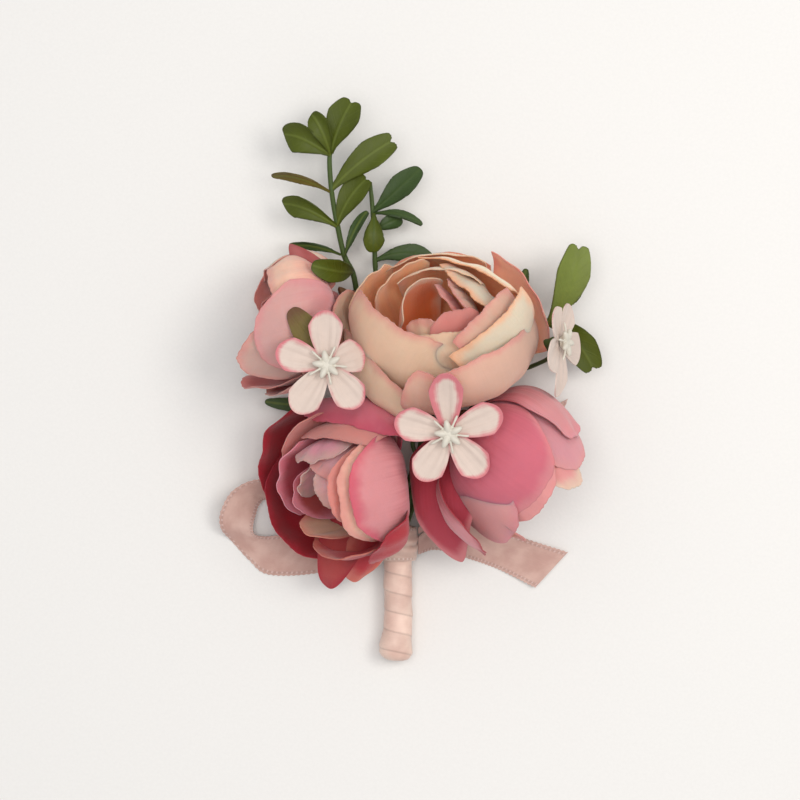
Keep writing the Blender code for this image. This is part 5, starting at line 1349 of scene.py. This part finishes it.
def dress_knot(finish):
    """The band of ribbon drawn tight round the top of the handle, in soft pleats."""
    shell = Shell()
    angle = SLEEVE_ANGLES
    stations = []
    for y in np.arange(KNOT_LOW, KNOT_HIGH + 0.01, KNOT_STEP):
        share = (y - KNOT_LOW) / (KNOT_HIGH - KNOT_LOW)
        wander = y + 0.8 * np.sin(angle + 0.6) + 0.4 * np.sin(2 * angle)
        pleats = 0.22 * np.abs(np.sin(wander * 1.15)) + 0.06 * np.sin(wander * 3.1)
        crown = 0.35 * math.sin(math.pi * share) ** 0.5
        # The last value is painted light and shade: darker in the hollows of the pleats, lighter on their
        # crests.
        stations.append((y, KNOT_OUTER - 0.12 + crown + pleats * math.sin(math.pi * share),
                         min(share, 1 - share) * RIBBON_WIDTH, angle * KNOT_OUTER, 0.82 + pleats * 0.8))
    for y in (KNOT_HIGH, HANDLE_RISE_END + 2, HANDLE_RISE_END, 10.0, KNOT_LOW):
        stations.append((y, HANDLE_RADIUS + GAP, 2.0, angle * 4.0, 1.0))
    add_sleeve(shell, stations, True)
    return shell.make("pleated_knot", finish, "ribbon_knot")


def dress_strip(name, node, one_edge, other_edge, ribbon, finish, waves):
    """A ribbon between two edges, with small scallops along both and shallow waves in between.

    Each wave gives its place along the ribbon, its reach, its skew and its height.
    """
    first, second = smooth_route(one_edge, 40), smooth_route(other_edge, 40)
    gone = run_of((first + second) / 2)
    even = np.arange(0.0, gone[-1], RIBBON_STEP)
    first, second = (np.stack([np.interp(even, gone, edge[:, k]) for k in range(3)], axis=-1)
                     for edge in (first, second))
    gap = (SHEET - mm(ribbon.thickness)) / 2
    share = np.array(RIBBON_COLUMNS)[:, None]
    scallop = 0.010 * np.sin(even * TURN / mm(ribbon.stitch))[None, :]
    tight = share + (scallop * (1 - 2 * share)) * (np.abs(share - 0.5) > 0.44)
    points = first[None] * (1 - tight[..., None]) + second[None] * tight[..., None]
    up = np.cross(first - second, np.gradient((first + second) / 2, axis=0))
    up /= np.linalg.norm(up, axis=1, keepdims=True)
    ends = np.clip(np.minimum(even, even[-1] - even) / 8.0, 0, 1)
    lift = np.zeros(points.shape[:2])
    for place, reach, skew, height in waves:
        apart = even[None, :] - place - skew * (share - 0.5) * RIBBON_WIDTH
        lift = lift + height * np.exp(-(apart / reach) ** 2)
    lift = lift * ends[None, :] * np.sin(math.pi * share) ** 0.6
    points = points + up[None] * lift[..., None]
    points[..., 2] = np.maximum(points[..., 2] - gap, mm(ribbon.thickness) / 2)
    shell = Shell()
    edge = np.minimum(share, 1 - share) * RIBBON_WIDTH
    surface = (points, stacked(edge, even[None, :], (share - 0.5) * RIBBON_WIDTH),
               stacked(share * RIBBON_WIDTH, even[None, :], 0.0))
    add_sheet(shell, surface, mm(ribbon.thickness), (1, 1, 1), (1, 1, 1), (0, 0, 0), (0, 0, 0))
    piece = shell.make(name, finish, node)


# Stage

def add_light(name, place, target, size, energy, tint):
    lamp = bpy.data.lights.new(name, "AREA")
    lamp.shape = "DISK"
    lamp.size = size
    lamp.energy = energy
    lamp.color = tint
    holder = bpy.data.objects.new(name, lamp)
    holder.location = place
    way = np.asarray(target, dtype=float) - np.asarray(place, dtype=float)
    flat = math.hypot(way[0], way[1])
    holder.rotation_euler = (math.atan2(flat, -way[2]), 0.0, math.atan2(-way[0], way[1]))
    bpy.context.scene.collection.objects.link(holder)


def set_stage(studio):
    scene = bpy.context.scene
    mesh = bpy.data.meshes.new("table_top")
    corners = [(x * TABLE_HALF, y * TABLE_HALF, TABLE_LEVEL) for x, y in ((-1, -1), (1, -1), (1, 1), (-1, 1))]
    mesh.from_pydata(corners, [], [(0, 1, 2, 3)])
    mesh.materials.append(floor_paper("pale_paper", studio.floor))
    table = bpy.data.objects.new("table_top", mesh)
    scene.collection.objects.link(table)
    add_light("key_light", (0.36, 0.16, 0.62), LIT_PLACE, 0.34, studio.key_light, (1.0, 0.97, 0.93))
    add_light("fill_light", (-0.06, 0.10, 0.90), LIT_PLACE, 0.60, studio.fill_light, (1.0, 0.98, 0.96))
    world = bpy.data.worlds.new("soft_sky")
    world.use_nodes = True
    sky = world.node_tree.nodes["Background"]
    sky.inputs["Color"].default_value = SKY_TINT
    sky.inputs["Strength"].default_value = studio.sky
    scene.world = world
    eye = bpy.data.cameras.new("overhead_camera")
    eye.sensor_width = 36
    eye.lens = studio.lens
    camera = bpy.data.objects.new("overhead_camera", eye)
    camera.location = (*CAMERA_PLACE, studio.camera_height)
    scene.collection.objects.link(camera)
    scene.camera = camera
    scene.view_settings.view_transform = "Standard"


# Operators, in the order that the pieces are put together

class CORSAGE_OT_blooms(bpy.types.Operator):
    """Cut, shape and dye the petals of the four cloth blooms"""

    bl_idname = "corsage.blooms"
    bl_label = "Blooms"

    def execute(self, context):
        for number, (name, bloom, table, loose, tints, dye) in enumerate(BLOOMS):
            dress_bloom(bloom, table, loose, tints, petal_cloth(name + "_petal_cloth", *dye), name + "_cloth",
                        100 * (number + 1))
        return {"FINISHED"}


class CORSAGE_OT_blossoms(bpy.types.Operator):
    """Shape the three small white blossoms with pink edges"""

    bl_idname = "corsage.blossoms"
    bl_label = "Blossoms"

    def execute(self, context):
        finish = blossom_cloth("white_petal_cloth")
        for flower in BLOSSOMS:
            dress_blossom(flower, finish)
        return {"FINISHED"}


class CORSAGE_OT_stamens(bpy.types.Operator):
    """Mould the star of stamens in each blossom"""

    bl_idname = "corsage.stamens"
    bl_label = "Stamens"

    def execute(self, context):
        finish = moulded_white("stamen_plastic", dyed(settings("corsage_blossoms"), "stamen"))
        for flower in BLOSSOMS:
            dress_stamens(flower, finish)
        return {"FINISHED"}


class CORSAGE_OT_stems(bpy.types.Operator):
    """Lead the stems of blooms and blossoms into the handle"""

    bl_idname = "corsage.stems"
    bl_label = "Stems"

    def execute(self, context):
        greens = settings("corsage_greenery")
        finish = stem_plastic("moulded_stem", dyed(greens, "calyx_brown"))
        for number, (bloom, place, middle) in enumerate(BLOOM_STEMS):
            dress_bloom_stem(bloom, place, middle, finish, number)
        for number, (flower, place, middle) in enumerate(BLOSSOM_STEMS):
            dress_blossom_stem(flower, place, middle, finish, number + 5)
        return {"FINISHED"}


class CORSAGE_OT_sprays(bpy.types.Operator):
    """Mould the three green sprays with their leaves"""

    bl_idname = "corsage.sprays"
    bl_label = "Green sprays"

    def execute(self, context):
        greens = settings("corsage_greenery")
        green = leaf_plastic("moulded_leaf", dyed(greens, "pale_green"))
        dark = leaf_plastic("dark_moulded_leaf", dyed(greens, "stem_green"))
        dress_spray(SPRAY_A, green)
        dress_spray(SPRAY_B, dark)
        dress_spray(SPRAY_C, green)
        return {"FINISHED"}


class CORSAGE_OT_handle(bpy.types.Operator):
    """Wind the ribbon round the stems and tie its knot"""

    bl_idname = "corsage.handle"
    bl_label = "Wound handle and knot"

    def execute(self, context):
        ribbon = settings("corsage_ribbon")
        dress_handle(ribbon, satin("wound_satin", ribbon))
        dress_knot(satin("knot_satin", ribbon))
        return {"FINISHED"}


class CORSAGE_OT_ribbons(bpy.types.Operator):
    """Lay the ribbon loop and the two tails"""

    bl_idname = "corsage.ribbons"
    bl_label = "Ribbon loop and tails"

    def execute(self, context):
        ribbon = settings("corsage_ribbon")
        finish = satin("ribbon_satin", ribbon)
        dress_strip("satin_loop", "ribbon_loop", LOOP_OUTER, LOOP_INNER, ribbon, finish,
                    [(20, 5, 0.3, 0.4), (75, 4, -0.6, 0.4)])
        dress_strip("satin_tail", "ribbon_tail", TAIL_UPPER, TAIL_LOWER, ribbon, finish,
                    [(22.0, 1.6, -0.25, 0.9), (30.0, 3.0, 0.2, 0.4)])
        dress_strip("satin_upper_tail", "ribbon_upper_tail", CLIMB_LEFT, CLIMB_RIGHT, ribbon, finish,
                    [(20, 5, 0.3, 0.3)])
        return {"FINISHED"}


class CORSAGE_OT_stage(bpy.types.Operator):
    """Set the pale table, the soft lights and the camera overhead"""

    bl_idname = "corsage.stage"
    bl_label = "Stage"

    def execute(self, context):
        set_stage(settings("corsage_studio"))
        return {"FINISHED"}


OPERATORS = (CORSAGE_OT_blooms, CORSAGE_OT_blossoms, CORSAGE_OT_stamens, CORSAGE_OT_stems, CORSAGE_OT_sprays,
             CORSAGE_OT_handle, CORSAGE_OT_ribbons, CORSAGE_OT_stage)


class CORSAGE_PT_workbench(bpy.types.Panel):
    """Lists the steps of the corsage with their sizes and colours"""

    bl_label = "Corsage"
    bl_idname = "CORSAGE_PT_workbench"
    bl_space_type = "VIEW_3D"
    bl_region_type = "UI"
    bl_category = "Corsage"

    def draw(self, context):
        for operator in OPERATORS:
            self.layout.operator(operator.bl_idname)
        for name, group in GROUPS.items():
            box = self.layout.box()
            box.label(text=group.__doc__)
            for value in group.__annotations__:
                box.prop(getattr(context.scene, name), value)


def register():
    for kind in (*GROUPS.values(), *OPERATORS, CORSAGE_PT_workbench):
        bpy.utils.register_class(kind)
    for name, group in GROUPS.items():
        setattr(bpy.types.Scene, name, bpy.props.PointerProperty(type=group))


def unregister():
    for name in GROUPS:
        delattr(bpy.types.Scene, name)
    for kind in (CORSAGE_PT_workbench, *reversed(OPERATORS), *reversed(GROUPS.values())):
        bpy.utils.unregister_class(kind)


def main():
    register()
    bpy.ops.corsage.blooms()
    bpy.ops.corsage.blossoms()
    bpy.ops.corsage.stamens()
    bpy.ops.corsage.stems()
    bpy.ops.corsage.sprays()
    bpy.ops.corsage.handle()
    bpy.ops.corsage.ribbons()
    bpy.ops.corsage.stage()


if __name__ == "__main__":
    main()
